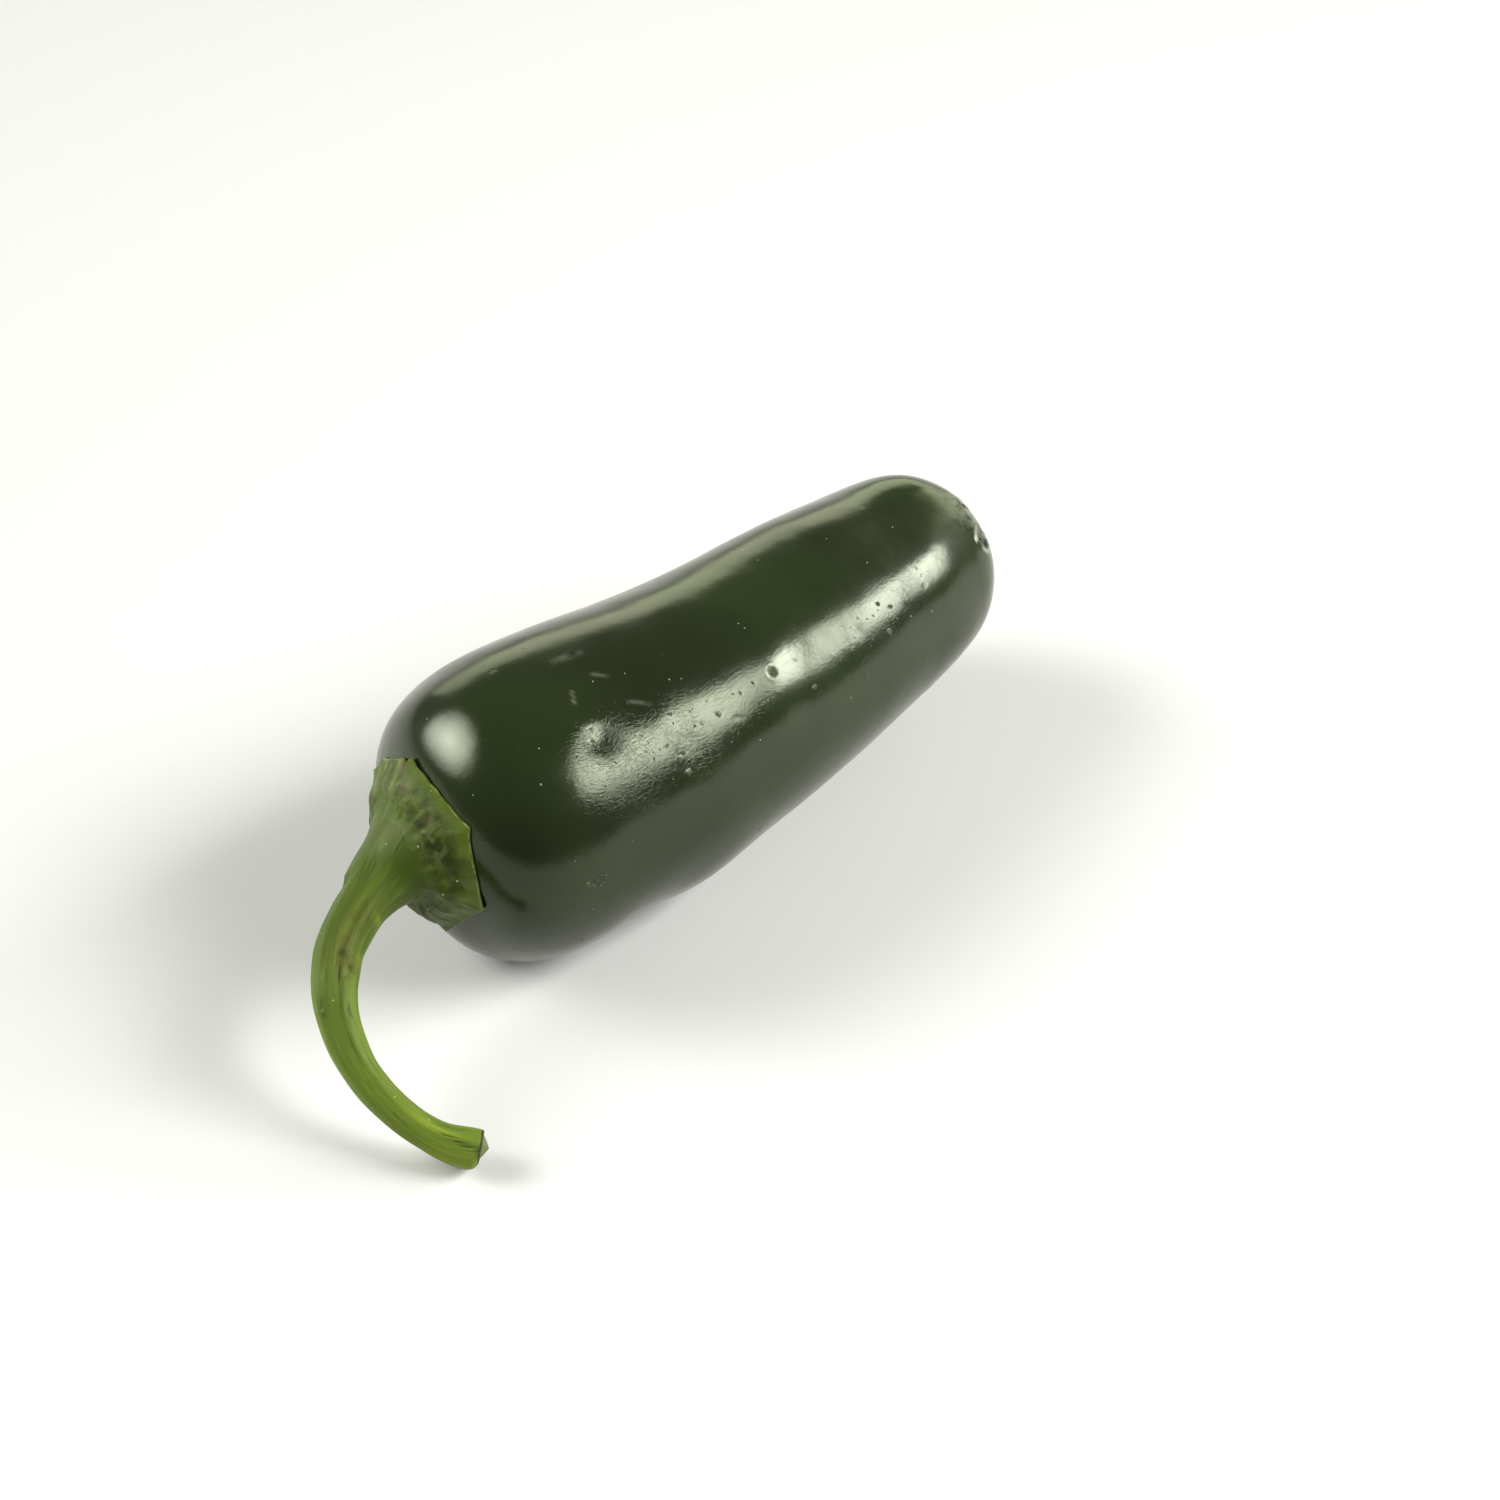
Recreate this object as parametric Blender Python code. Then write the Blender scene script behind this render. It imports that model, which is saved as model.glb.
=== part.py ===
"""A green jalapeno pepper lying on its side: a pod, the calyx that caps it and a hooked stem.

Metres, +Z up. The origin is on the surface that the pepper lies on, under the pod's belly. +X runs along the pod
to its tip, and the stem hooks round towards -Y and comes down to the surface.
"""
from collections import namedtuple

import bmesh
import bpy
import numpy as np

MM = 0.001

# Pod: its size, and the station under which it rests, measured from its stem end
POD_LENGTH = 78.2 * MM
POD_RADIUS = 16.5 * MM
TIP_RADIUS = 9.6 * MM
REST_STATION = 28.0 * MM
PRESSED_IN = 0.25 * MM
TAPER_START = 6.0 * MM
TAPER_POWER = 1.75
SHOULDER_LENGTH = 16.7 * MM
SHOULDER_POWER = 3.0
TIP_LENGTH = 8.8 * MM
TIP_POWER = 2.34

# Bend of the pod's middle line: sideways and downwards, for each power of the fraction of the length
SWAY = (-4.83 * MM, 12.02 * MM)
DROP = (-3.57 * MM, 2.25 * MM, -2.73 * MM)

# Three faint lobes of the pod's section, as a share of its radius
LOBE_SHARE = 0.012
LOBE_TURN = np.radians(35.0)

# Swells (raised) and dents (sunken) of the skin. The azimuth is in degrees from +Y towards +Z, and each one fades
# away within its reach along and across the pod.
Swell = namedtuple("Swell", "station azimuth along across height")
SWELLS = (
    Swell(7.5 * MM, 52.0, 6.0 * MM, 8.0 * MM, -0.50 * MM),  # drop of the shoulder
    Swell(35.0 * MM, 58.0, 11.0 * MM, 9.0 * MM, -0.75 * MM),  # waist on the upper back
    Swell(57.0 * MM, 72.0, 8.0 * MM, 8.0 * MM, 0.35 * MM),
    Swell(71.0 * MM, 88.0, 7.0 * MM, 6.5 * MM, 0.90 * MM),  # crown of the tip
    Swell(74.0 * MM, 155.0, 4.0 * MM, 5.0 * MM, -0.35 * MM),
    Swell(77.5 * MM, 335.0, 8.0 * MM, 9.0 * MM, -2.90 * MM),  # slant of the tip towards the scar
    Swell(15.4 * MM, 124.0, 1.9 * MM, 1.9 * MM, -0.45 * MM),  # dimple near the shoulder
    Swell(24.0 * MM, 139.0, 1.9 * MM, 5.5 * MM, -0.28 * MM),  # crease across the upper front
    Swell(34.0 * MM, 133.0, 5.5 * MM, 6.0 * MM, 0.22 * MM),
    Swell(44.0 * MM, 134.0, 3.0 * MM, 5.0 * MM, -0.20 * MM),
    Swell(55.0 * MM, 136.0, 6.0 * MM, 6.0 * MM, 0.20 * MM),
    Swell(66.0 * MM, 188.0, 7.0 * MM, 6.0 * MM, 0.40 * MM),
    Swell(18.5 * MM, 224.0, 4.5 * MM, 6.0 * MM, -0.45 * MM),
    Swell(27.0 * MM, 214.0, 6.0 * MM, 6.0 * MM, 0.50 * MM),
    Swell(24.0 * MM, 358.0, 9.0 * MM, 7.0 * MM, 0.40 * MM),
    Swell(42.0 * MM, 20.0, 12.0 * MM, 7.0 * MM, -0.50 * MM),  # hollow along the back
    Swell(60.0 * MM, 330.0, 9.0 * MM, 6.0 * MM, -0.35 * MM),
)

# Blossom scar at the tip: where it is, its raised lip and its pit
SCAR_STATION = 73.6 * MM
SCAR_AZIMUTH = 142.0
SCAR_LIP_RADIUS = 1.9 * MM
SCAR_LIP_WIDTH = 0.7 * MM
SCAR_LIP_HEIGHT = 0.22 * MM
SCAR_PIT_RADIUS = 1.3 * MM
SCAR_PIT_DEPTH = 0.75 * MM

# Flat spot under the belly: the height over which the round underside eases into it
FLAT_EASE = 0.15 * MM

# Calyx: corners as azimuth in degrees and distance from its middle, and the small tooth at each
CALYX_CORNERS = (
    (9.0, 10.3 * MM),
    (35.0, 10.4 * MM),
    (73.0, 10.5 * MM),
    (134.0, 11.3 * MM),
    (182.5, 10.7 * MM),
    (254.0, 9.5 * MM),
    (312.0, 10.6 * MM),
)
TOOTH_REACH = 0.45 * MM
TOOTH_WIDTH = np.radians(6.0)
CALYX_THICKNESS = 0.8 * MM
RIM_LIFT = 0.25 * MM
LIFT_FROM = 0.7
LANDING_DEPTH = 1.5 * MM
LANDING_RADIUS = 6.3 * MM
LANDING_EASE = 2.2 * MM
GAP = 0.3 * MM

# Stem: its route from the calyx to the cut end, from the pod's stem end, and its thickness
FOOT_ASIDE = 0.6 * MM
STEM_LEAD = 0.8 * MM
STEM_ROUTE = (
    (-5.2 * MM, 0.2 * MM, 15.6 * MM),
    (-9.6 * MM, -2.0 * MM, 14.6 * MM),
    (-14.0 * MM, -5.0 * MM, 13.1 * MM),
    (-17.1 * MM, -9.2 * MM, 11.1 * MM),
    (-18.2 * MM, -14.1 * MM, 8.1 * MM),
    (-17.4 * MM, -18.9 * MM, 5.3 * MM),
    (-15.3 * MM, -23.1 * MM, 3.2 * MM),
    (-12.4 * MM, -26.0 * MM, 2.15 * MM),
)
STEM_THICK = 2.45 * MM
STEM_SLIM = 1.75 * MM
SLIM_FROM = 10.0 * MM
SLIM_TO = 32.0 * MM
FOOT_FLARE = 2.7 * MM
FOOT_REACH = 4.2 * MM
FOOT_POWER = 1.3
CUT_SWELL = 0.28 * MM
SWELL_LENGTH = 8.0 * MM
CUT_CHAMFER = 0.35 * MM
STEM_RIDGES = 5
RIDGE_SHARE = 0.05

# Mesh density, the step that finds a normal, and the angle past which an edge is sharp
POD_SEGMENTS = 60
POD_RINGS = 60
CALYX_SEGMENTS = 84
CALYX_RINGS = 16
STEM_SIDES = 25
STEM_STEPS = 4
NORMAL_STEP = 0.002
SHARP_ANGLE = np.radians(50.0)
WELD_DISTANCE = 0.01 * MM


def smoothstep(value):
    """Ease from 0 to 1 while the value goes from 0 to 1."""
    value = np.clip(value, 0.0, 1.0)
    return value * value * (3.0 - 2.0 * value)


def unit(vectors):
    """Vectors scaled to length 1."""
    return vectors / np.linalg.norm(vectors, axis=-1, keepdims=True)


def pod_axis(station):
    """Middle line of the pod at each station, with its direction and the two directions square to it."""
    part = station / POD_LENGTH
    sway = SWAY[0] * part + SWAY[1] * part**2
    drop = DROP[0] * part + DROP[1] * part**2 + DROP[2] * part**3
    middle = np.stack([station - REST_STATION, sway, POD_RADIUS - PRESSED_IN + drop], -1)
    sway_slope = (SWAY[0] + 2.0 * SWAY[1] * part) / POD_LENGTH
    drop_slope = (DROP[0] + 2.0 * DROP[1] * part + 3.0 * DROP[2] * part**2) / POD_LENGTH
    along = unit(np.stack([np.ones_like(part), sway_slope, drop_slope], -1))
    side = unit(np.cross(np.array([0.0, 0.0, 1.0]), along))
    rise = np.cross(along, side)
    return middle, along, side, rise


def pod_radius(station):
    """Radius of the pod's section: a taper with a round shoulder at the stem end and a round tip."""
    part = np.clip((station - TAPER_START) / (POD_LENGTH - TAPER_START), 0.0, 1.0)
    body = POD_RADIUS + (TIP_RADIUS - POD_RADIUS) * part**TAPER_POWER
    shoulder = np.clip(1.0 - station / SHOULDER_LENGTH, 0.0, 1.0)
    tip = np.clip((station - POD_LENGTH + TIP_LENGTH) / TIP_LENGTH, 0.0, 1.0)
    shoulder_round = (1.0 - shoulder**SHOULDER_POWER) ** (1.0 / SHOULDER_POWER)
    tip_round = (1.0 - tip**TIP_POWER) ** (1.0 / TIP_POWER)
    return body * shoulder_round * tip_round


def shoulder_station(radius):
    """Station at which the shoulder's dome has this radius, the inverse of its round."""
    share = np.clip(radius / POD_RADIUS, 0.0, 1.0)
    return SHOULDER_LENGTH * (1.0 - (1.0 - share**SHOULDER_POWER) ** (1.0 / SHOULDER_POWER))


def pod_point(angle, azimuth):
    """Point of the plain pod, without swells. The angle runs from 0 at the stem end to pi at the tip."""
    station = POD_LENGTH * (1.0 - np.cos(angle)) / 2.0
    middle, _, side, rise = pod_axis(station)
    lobes = 1.0 + LOBE_SHARE * np.sin(angle) * np.cos(3.0 * (azimuth - LOBE_TURN))
    radius = (pod_radius(station) * lobes)[..., None]
    return middle + radius * (side * np.cos(azimuth)[..., None] + rise * np.sin(azimuth)[..., None])


def pod_normal(angle, azimuth):
    """Outward direction of the plain pod, from points a little to each side."""
    near = np.clip(angle, 2.0 * NORMAL_STEP, np.pi - 2.0 * NORMAL_STEP)
    lengthwise = pod_point(near + NORMAL_STEP, azimuth) - pod_point(near - NORMAL_STEP, azimuth)
    around = pod_point(near, azimuth + NORMAL_STEP) - pod_point(near, azimuth - NORMAL_STEP)
    return unit(np.cross(around, lengthwise))


def station_angle(station):
    """Angle from 0 at the stem end to pi at the tip that has this station."""
    return np.arccos(1.0 - 2.0 * station / POD_LENGTH)


def pod_relief(points):
    """Height of the swells, the dents and the blossom scar at points of the plain pod."""
    height = np.zeros(points.shape[:-1])
    for swell in SWELLS:
        away = points - pod_point(station_angle(swell.station), np.radians(swell.azimuth))
        along = away[..., 0] / swell.along
        across = np.linalg.norm(away[..., 1:], axis=-1) / swell.across
        height += swell.height * np.exp(-(along**2) - across**2)
    scar = pod_point(station_angle(SCAR_STATION), np.radians(SCAR_AZIMUTH))
    distance = np.linalg.norm(points - scar, axis=-1)
    height += SCAR_LIP_HEIGHT * np.exp(-(((distance - SCAR_LIP_RADIUS) / SCAR_LIP_WIDTH) ** 2))
    height -= SCAR_PIT_DEPTH * (1.0 - smoothstep(distance / SCAR_PIT_RADIUS))
    return height


def flatten_underside(points):
    """Ease the lowest stretch into the plane of the surface: flat below -ease, a parabola up to +ease."""
    height = points[..., 2]
    eased = (height + FLAT_EASE) ** 2 / (4.0 * FLAT_EASE)
    flat = np.where(height < -FLAT_EASE, 0.0, eased)
    points[..., 2] = np.where(height < FLAT_EASE, flat, height)
    return points


def slide_to_scar(angle, azimuth):
    """Slide the grid's tip pole sideways onto the blossom scar, without moving the surface."""
    reach = np.sin(angle)
    scar = np.sin(station_angle(SCAR_STATION))
    slide = np.where(angle > np.pi / 2.0, scar * (1.0 - reach) ** 2, 0.0)
    flat_x = reach * np.cos(azimuth) + slide * np.cos(np.radians(SCAR_AZIMUTH))
    flat_y = reach * np.sin(azimuth) + slide * np.sin(np.radians(SCAR_AZIMUTH))
    moved = np.arcsin(np.clip(np.hypot(flat_x, flat_y), 0.0, 1.0))
    tip_half = angle > np.pi / 2.0
    return np.where(tip_half, np.pi - moved, angle), np.where(tip_half, np.arctan2(flat_y, flat_x), azimuth)


def calyx_outline(azimuth):
    """Distance from the calyx's middle to its edge: straight edges between corners, and a tooth at each."""
    turns = np.radians([corner[0] for corner in CALYX_CORNERS])
    reaches = np.array([corner[1] for corner in CALYX_CORNERS])
    azimuth = np.mod(azimuth, 2.0 * np.pi)
    after = np.searchsorted(turns, azimuth) % len(turns)
    before = after - 1
    start = np.stack([np.cos(turns), np.sin(turns)], -1) * reaches[:, None]
    edge = start[after] - start[before]
    heading = np.stack([np.cos(azimuth), np.sin(azimuth)], -1)
    crossed = start[before][..., 0] * edge[..., 1] - start[before][..., 1] * edge[..., 0]
    distance = crossed / (heading[..., 0] * edge[..., 1] - heading[..., 1] * edge[..., 0])
    for turn in turns:
        away = np.arctan2(np.sin(azimuth - turn), np.cos(azimuth - turn))
        distance = distance + TOOTH_REACH * np.exp(-((away / TOOTH_WIDTH) ** 2))
    return distance


def calyx_point(angle, azimuth):
    """Point of the cap. The angle runs from 0 at the middle of its outer face, over the rim, to pi underneath."""
    share = np.sin(angle)
    radius = share * calyx_outline(azimuth)
    station = shoulder_station(radius)
    middle, along, side, rise = pod_axis(station)
    across = side * np.cos(azimuth)[..., None] + rise * np.sin(azimuth)[..., None]
    lift = GAP + RIM_LIFT * smoothstep((share - LIFT_FROM) / (1.0 - LIFT_FROM))
    foot = np.hypot(radius * np.cos(azimuth) - FOOT_ASIDE, radius * np.sin(azimuth))
    landing = 1.0 - smoothstep((foot - LANDING_RADIUS) / LANDING_EASE)
    outer = (lift + CALYX_THICKNESS) * (1.0 - landing) + (LANDING_DEPTH + station) * landing
    rim = 0.5 * (outer + lift)
    facing = np.round(np.cos(angle), 4)
    height = np.where(facing > 0.0, outer, np.where(facing < 0.0, lift, rim))
    return middle + radius[..., None] * across - along * height[..., None]


def stem_route():
    """Points of the stem's middle line: straight out of the calyx, then a smooth curve through the route."""
    middle, along, side, _ = pod_axis(0.0)
    foot = middle + side * FOOT_ASIDE - along * (LANDING_DEPTH + GAP)
    lead = foot - along * STEM_LEAD
    shift = np.array([-REST_STATION, 0.0, 0.0])
    knots = np.vstack([lead, np.array(STEM_ROUTE) + shift])
    ends = np.vstack([foot, knots, 2.0 * knots[-1] - knots[-2]])
    part = np.linspace(0.0, 1.0, STEM_STEPS, endpoint=False)[:, None]
    spans = []
    for first, start, end, last in zip(ends, ends[1:], ends[2:], ends[3:]):
        slope_in = (end - first) / 2.0
        slope_out = (last - start) / 2.0
        cubic = 2.0 * start - 2.0 * end + slope_in + slope_out
        square = -3.0 * start + 3.0 * end - 2.0 * slope_in - slope_out
        spans.append(((cubic * part + square) * part + slope_in) * part + start)
    return np.vstack([foot[None], *spans, knots[-1:]])


def stem_radius(arc, length):
    """Half thickness of the stem at an arc length from the calyx: a flared foot, a taper and a swollen end."""
    shaft = STEM_THICK + (STEM_SLIM - STEM_THICK) * smoothstep((arc - SLIM_FROM) / (SLIM_TO - SLIM_FROM))
    flare = FOOT_FLARE * np.exp(-((arc / FOOT_REACH) ** FOOT_POWER))
    swell = CUT_SWELL * smoothstep((arc - length + SWELL_LENGTH) / SWELL_LENGTH)
    return shaft + flare + swell


def new_material(name, colour, roughness):
    """Plain material with a Principled shader."""
    material = bpy.data.materials.new(name)
    material.use_nodes = True
    shader = material.node_tree.nodes["Principled BSDF"]
    shader.inputs["Base Color"].default_value = (*colour, 1.0)
    shader.inputs["Roughness"].default_value = roughness
    shader.inputs["Metallic"].default_value = 0.0
    return material


def add_object(name, mesh, material, collection):
    """Object of a mesh, smooth except at sharp edges, in the pepper's collection."""
    mesh.materials.append(material)
    mesh.shade_smooth()
    mesh.set_sharp_from_angle(angle=SHARP_ANGLE)
    item = bpy.data.objects.new(name, mesh)
    collection.objects.link(item)
    return item


def turn_outwards(shape):
    """Turn every face over if the closed shape is inside out."""
    if shape.calc_volume(signed=True) < 0.0:
        bmesh.ops.reverse_faces(shape, faces=shape.faces)


def shaped_sphere(name, segments, rings, place):
    """Mesh of a UV sphere whose points are placed by a function of (angle from its top, azimuth)."""
    mesh = bpy.data.meshes.new(name)
    shape = bmesh.new()
    bmesh.ops.create_uvsphere(shape, u_segments=segments, v_segments=rings, radius=1.0)
    heading = np.array([corner.co for corner in shape.verts])
    angle = np.arccos(np.clip(heading[:, 2], -1.0, 1.0))
    azimuth = np.arctan2(heading[:, 1], heading[:, 0])
    for corner, point in zip(shape.verts, place(angle, azimuth)):
        corner.co = point
    turn_outwards(shape)
    shape.to_mesh(mesh)
    shape.free()
    return mesh


def place_pod(angle, azimuth):
    """Place of the pod's points, with its relief and its flat spot. The sphere's top is the pod's tip."""
    angle, azimuth = slide_to_scar(np.pi - angle, azimuth)
    points = pod_point(angle, azimuth)
    points = points + pod_normal(angle, azimuth) * pod_relief(points)[..., None]
    return flatten_underside(points)


def make_pod(collection):
    """The fruit itself."""
    material = new_material("waxy dark green skin", (0.018, 0.034, 0.010), 0.22)
    mesh = shaped_sphere("pod", POD_SEGMENTS, POD_RINGS, place_pod)
    return add_object("pod", mesh, material, collection)


def make_calyx(collection):
    """The thin cap on the pod's shoulder."""
    material = new_material("matte olive calyx", (0.10, 0.15, 0.035), 0.60)
    mesh = shaped_sphere("calyx", CALYX_SEGMENTS, CALYX_RINGS, calyx_point)
    return add_object("calyx", mesh, material, collection)


def stem_section():
    """Closed outline of the stem's section, of unit radius with faint ridges."""
    outline = bpy.data.curves.new("stem section", "CURVE")
    outline.dimensions = "2D"
    outline.fill_mode = "NONE"
    spline = outline.splines.new("POLY")
    spline.points.add(STEM_SIDES - 1)
    spline.use_cyclic_u = True
    for index, point in enumerate(spline.points):
        turn = 2.0 * np.pi * index / STEM_SIDES
        reach = 1.0 + RIDGE_SHARE * np.cos(STEM_RIDGES * turn)
        point.co = (reach * np.cos(turn), reach * np.sin(turn), 0.0, 1.0)
    return bpy.data.objects.new("stem section", outline)


def make_stem(collection, guides):
    """The hooked stalk: its section carried along the route, thick at the foot and swollen at the cut end."""
    route = stem_route()
    arc = np.concatenate([[0.0], np.cumsum(np.linalg.norm(np.diff(route, axis=0), axis=1))])
    radius = stem_radius(arc, arc[-1])
    radius[-1] -= CUT_CHAMFER
    section = stem_section()
    section.hide_render = True
    section.display_type = "WIRE"
    guides.objects.link(section)
    path = bpy.data.curves.new("stem path", "CURVE")
    path.dimensions = "3D"
    path.bevel_mode = "OBJECT"
    path.bevel_object = section
    path.use_fill_caps = True
    spline = path.splines.new("POLY")
    spline.points.add(len(route) - 1)
    for point, place, reach in zip(spline.points, route, radius):
        point.co = (*place, 1.0)
        point.radius = reach
    sweep = bpy.data.objects.new("stem path", path)
    guides.objects.link(sweep)
    depsgraph = bpy.context.evaluated_depsgraph_get()
    mesh = bpy.data.meshes.new_from_object(sweep.evaluated_get(depsgraph))
    mesh.name = "stem"
    shape = bmesh.new()
    shape.from_mesh(mesh)
    bmesh.ops.remove_doubles(shape, verts=shape.verts, dist=WELD_DISTANCE)
    bmesh.ops.recalc_face_normals(shape, faces=shape.faces)
    shape.to_mesh(mesh)
    shape.free()
    bpy.data.objects.remove(sweep)
    material = new_material("yellow green stalk", (0.16, 0.24, 0.05), 0.50)
    return add_object("stem", mesh, material, collection)


def main():
    """Clear the scene and make the pepper's three pieces."""
    for item in list(bpy.data.objects):
        bpy.data.objects.remove(item)
    pepper = bpy.data.collections.new("jalapeno pepper")
    guides = bpy.data.collections.new("guides")
    bpy.context.scene.collection.children.link(pepper)
    bpy.context.scene.collection.children.link(guides)
    make_pod(pepper)
    make_calyx(pepper)
    make_stem(pepper, guides)


main()
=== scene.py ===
"""Looks of a jalapeno pepper on a pale floor: its waxy pod, leathery calyx and ridged stalk.

Metres, +Z up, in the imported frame's own coordinates. The origin is on the floor under the pod's belly, and
+X runs along the pod to its tip. Each piece is a closed surface of two parameters, worked out on a grid,
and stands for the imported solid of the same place.
"""
import logging
from dataclasses import dataclass
from enum import Enum

import bpy
import numpy as np
from mathutils import Matrix


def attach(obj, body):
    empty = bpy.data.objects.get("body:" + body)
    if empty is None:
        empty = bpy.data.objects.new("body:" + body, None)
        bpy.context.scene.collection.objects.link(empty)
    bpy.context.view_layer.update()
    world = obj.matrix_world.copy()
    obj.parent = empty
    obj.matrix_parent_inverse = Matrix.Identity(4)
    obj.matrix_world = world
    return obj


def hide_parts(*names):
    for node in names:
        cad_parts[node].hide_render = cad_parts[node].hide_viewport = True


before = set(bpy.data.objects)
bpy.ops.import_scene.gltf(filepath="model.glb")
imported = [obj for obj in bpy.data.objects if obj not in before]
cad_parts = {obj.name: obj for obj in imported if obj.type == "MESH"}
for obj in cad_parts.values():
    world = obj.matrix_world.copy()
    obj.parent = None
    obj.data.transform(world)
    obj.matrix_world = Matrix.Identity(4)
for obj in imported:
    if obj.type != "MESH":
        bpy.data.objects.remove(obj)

MM = 0.001
UP = np.array([0.0, 0.0, 1.0])
LOG = logging.getLogger("jalapeno")

Array = np.ndarray
Socket = bpy.types.NodeSocket


class Slot(Enum):
    """Material slots of the record."""

    POD = "pod_skin"
    CALYX = "calyx_green"
    STEM = "stem_green"


def smoothstep(value: Array | float) -> Array:
    """Ease from 0 to 1 while the value goes from 0 to 1: 3v² - 2v³."""
    value = np.clip(value, 0.0, 1.0)
    return value * value * (3.0 - 2.0 * value)


def bell(value: Array) -> Array:
    """Bell curve of a distance in reaches: exp(-v²)."""
    return np.exp(-(value**2))


def eased(value: Array, start: float | Array, end: float | Array) -> Array:
    """Ease from 0 to 1 while the value goes from the start to the end."""
    return smoothstep((value - start) / (end - start))


def unit(vectors: Array) -> Array:
    """Vectors scaled to length 1."""
    return vectors / np.linalg.norm(vectors, axis=-1, keepdims=True)


def turned(first: Array, second: Array, azimuth: Array) -> Array:
    """Direction at an azimuth from the first towards the second: first cos a + second sin a."""
    return first * np.cos(azimuth)[..., None] + second * np.sin(azimuth)[..., None]


def turn_between(azimuth: Array, middle: float) -> Array:
    """Signed turn from the middle to the azimuth, from -pi to pi."""
    return np.arctan2(np.sin(azimuth - middle), np.cos(azimuth - middle))


def turn_bell(azimuth: Array, middle: float, width: float) -> Array:
    """Bell curve of the turn between the azimuth and a middle, both middle and width in degrees."""
    return bell(turn_between(azimuth, np.radians(middle)) / np.radians(width))


@dataclass(frozen=True)
class LatticeNoise:
    """Smooth noise in space: seeded random values on a cubic lattice, eased between its corners.

    Attributes:
        seed: seed of the lattice's values.
        cell: lattice spacing, in the units of the points.
        lattice: number of values along each axis, after which they repeat.
    """

    seed: int
    cell: float
    lattice: int = 64

    def at(self, points: Array) -> Array:
        """Noise from -1 to 1: the eight corners' values, each weighted by the eased distances.

        Args:
            points: points of space, (..., 3).

        Returns:
            The noise at each point.
        """
        values = np.random.default_rng(self.seed).uniform(-1.0, 1.0, (self.lattice,) * 3)
        scaled = points / self.cell
        low = np.floor(scaled).astype(int)
        part = smoothstep(scaled - low)
        total = np.zeros(points.shape[:-1])
        for corner in np.ndindex(2, 2, 2):
            x, y, z = np.moveaxis((low + corner) % self.lattice, -1, 0)
            weight = np.prod(np.where(corner, part, 1.0 - part), axis=-1)
            total += values[x, y, z] * weight
        return total


def closed_mesh(name: str, rings: Array, start: Array, end: Array) -> bpy.types.Mesh:
    """Closed surface over rings of points: quads between rings, a fan of triangles to each pole.

    Args:
        name: name of the mesh.
        rings: points, (rings, points around, 3).
        start: pole before the first ring.
        end: pole after the last ring.

    Returns:
        The mesh, smooth, with its faces pointing out.
    """
    count, around, _ = rings.shape
    points = np.vstack([rings.reshape(-1, 3), start, end])
    column = np.arange(around)
    after = np.roll(column, -1)
    row = (np.arange(count - 1) * around)[:, None]
    quads = np.stack([row + column, row + after, row + around + after, row + around + column], -1)
    quads = quads.reshape(-1, 4)
    last = (count - 1) * around
    first_fan = np.stack([np.full(around, count * around), after, column], -1)
    last_fan = np.stack([np.full(around, count * around + 1), last + column, last + after], -1)
    triangles = np.vstack([quads[:, [0, 1, 2]], quads[:, [0, 2, 3]], first_fan, last_fan])
    a, b, c = np.moveaxis(points[triangles] - points.mean(axis=0), 1, 0)
    faces = [quads, first_fan, last_fan]
    if np.einsum("ij,ij->", a, np.cross(b, c)) < 0.0:
        faces = [part[:, ::-1] for part in faces]
    mesh = bpy.data.meshes.new(name)
    mesh.from_pydata(points.tolist(), [], [face for part in faces for face in part.tolist()])
    mesh.shade_smooth()
    return mesh


def with_poles(values: Array, poles: Array | list) -> Array:
    """Values of a grid's points in the order of its closed mesh, with the two poles' values at the end."""
    poles = np.asarray(poles)
    return np.concatenate([values.reshape(-1, *poles.shape[1:]), poles])


def store(mesh: bpy.types.Mesh, name: str, values: Array) -> None:
    """Keep values on the mesh's points, as a number or as a vector.

    Args:
        mesh: the mesh.
        name: name of the attribute that a material reads.
        values: one value for each point, or one vector for each.
    """
    vector = values.ndim == 2
    layer = mesh.attributes.new(name, "FLOAT_VECTOR" if vector else "FLOAT", "POINT")
    layer.data.foreach_set("vector" if vector else "value", values.astype(np.float32).ravel())


def add_piece(
    name: str,
    mesh: bpy.types.Mesh,
    material: bpy.types.Material,
    node: str,
) -> None:
    """Put a finished piece at the origin, riding on the root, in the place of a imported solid.

    Args:
        name: name of the piece.
        mesh: its mesh, in the frame's coordinates.
        material: its finish.
        node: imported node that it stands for.
    """
    mesh.materials.append(material)
    piece = bpy.data.objects.new(name, mesh)
    bpy.context.scene.collection.objects.link(piece)
    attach(piece, "root")
    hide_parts(node)
    LOG.info("%s: %d points, %d faces, stands for %s", name, len(mesh.vertices), len(mesh.polygons), node)


@dataclass(frozen=True)
class Swell:
    """Raised or sunken place of the skin, fading as a bell along and across the pod.

    Attributes:
        station: distance from the pod's stem end, in mm.
        azimuth: turn about the pod from +Y towards +Z, in degrees.
        along: reach along the pod, in mm.
        across: reach across the pod, in mm.
        height: height, negative where it is sunken, in mm.
    """

    station: float
    azimuth: float
    along: float
    across: float
    height: float


@dataclass(frozen=True)
class Pit:
    """Small round pit with a faint lip, and how corky its floor is.

    Attributes:
        station: distance from the pod's stem end, in mm.
        azimuth: turn about the pod from +Y towards +Z, in degrees.
        radius: radius, in mm.
        depth: depth, negative for a bump, in mm.
        cork: how corky it is, from 0 to 1.
    """

    station: float
    azimuth: float
    radius: float
    depth: float
    cork: float = 0.0


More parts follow.
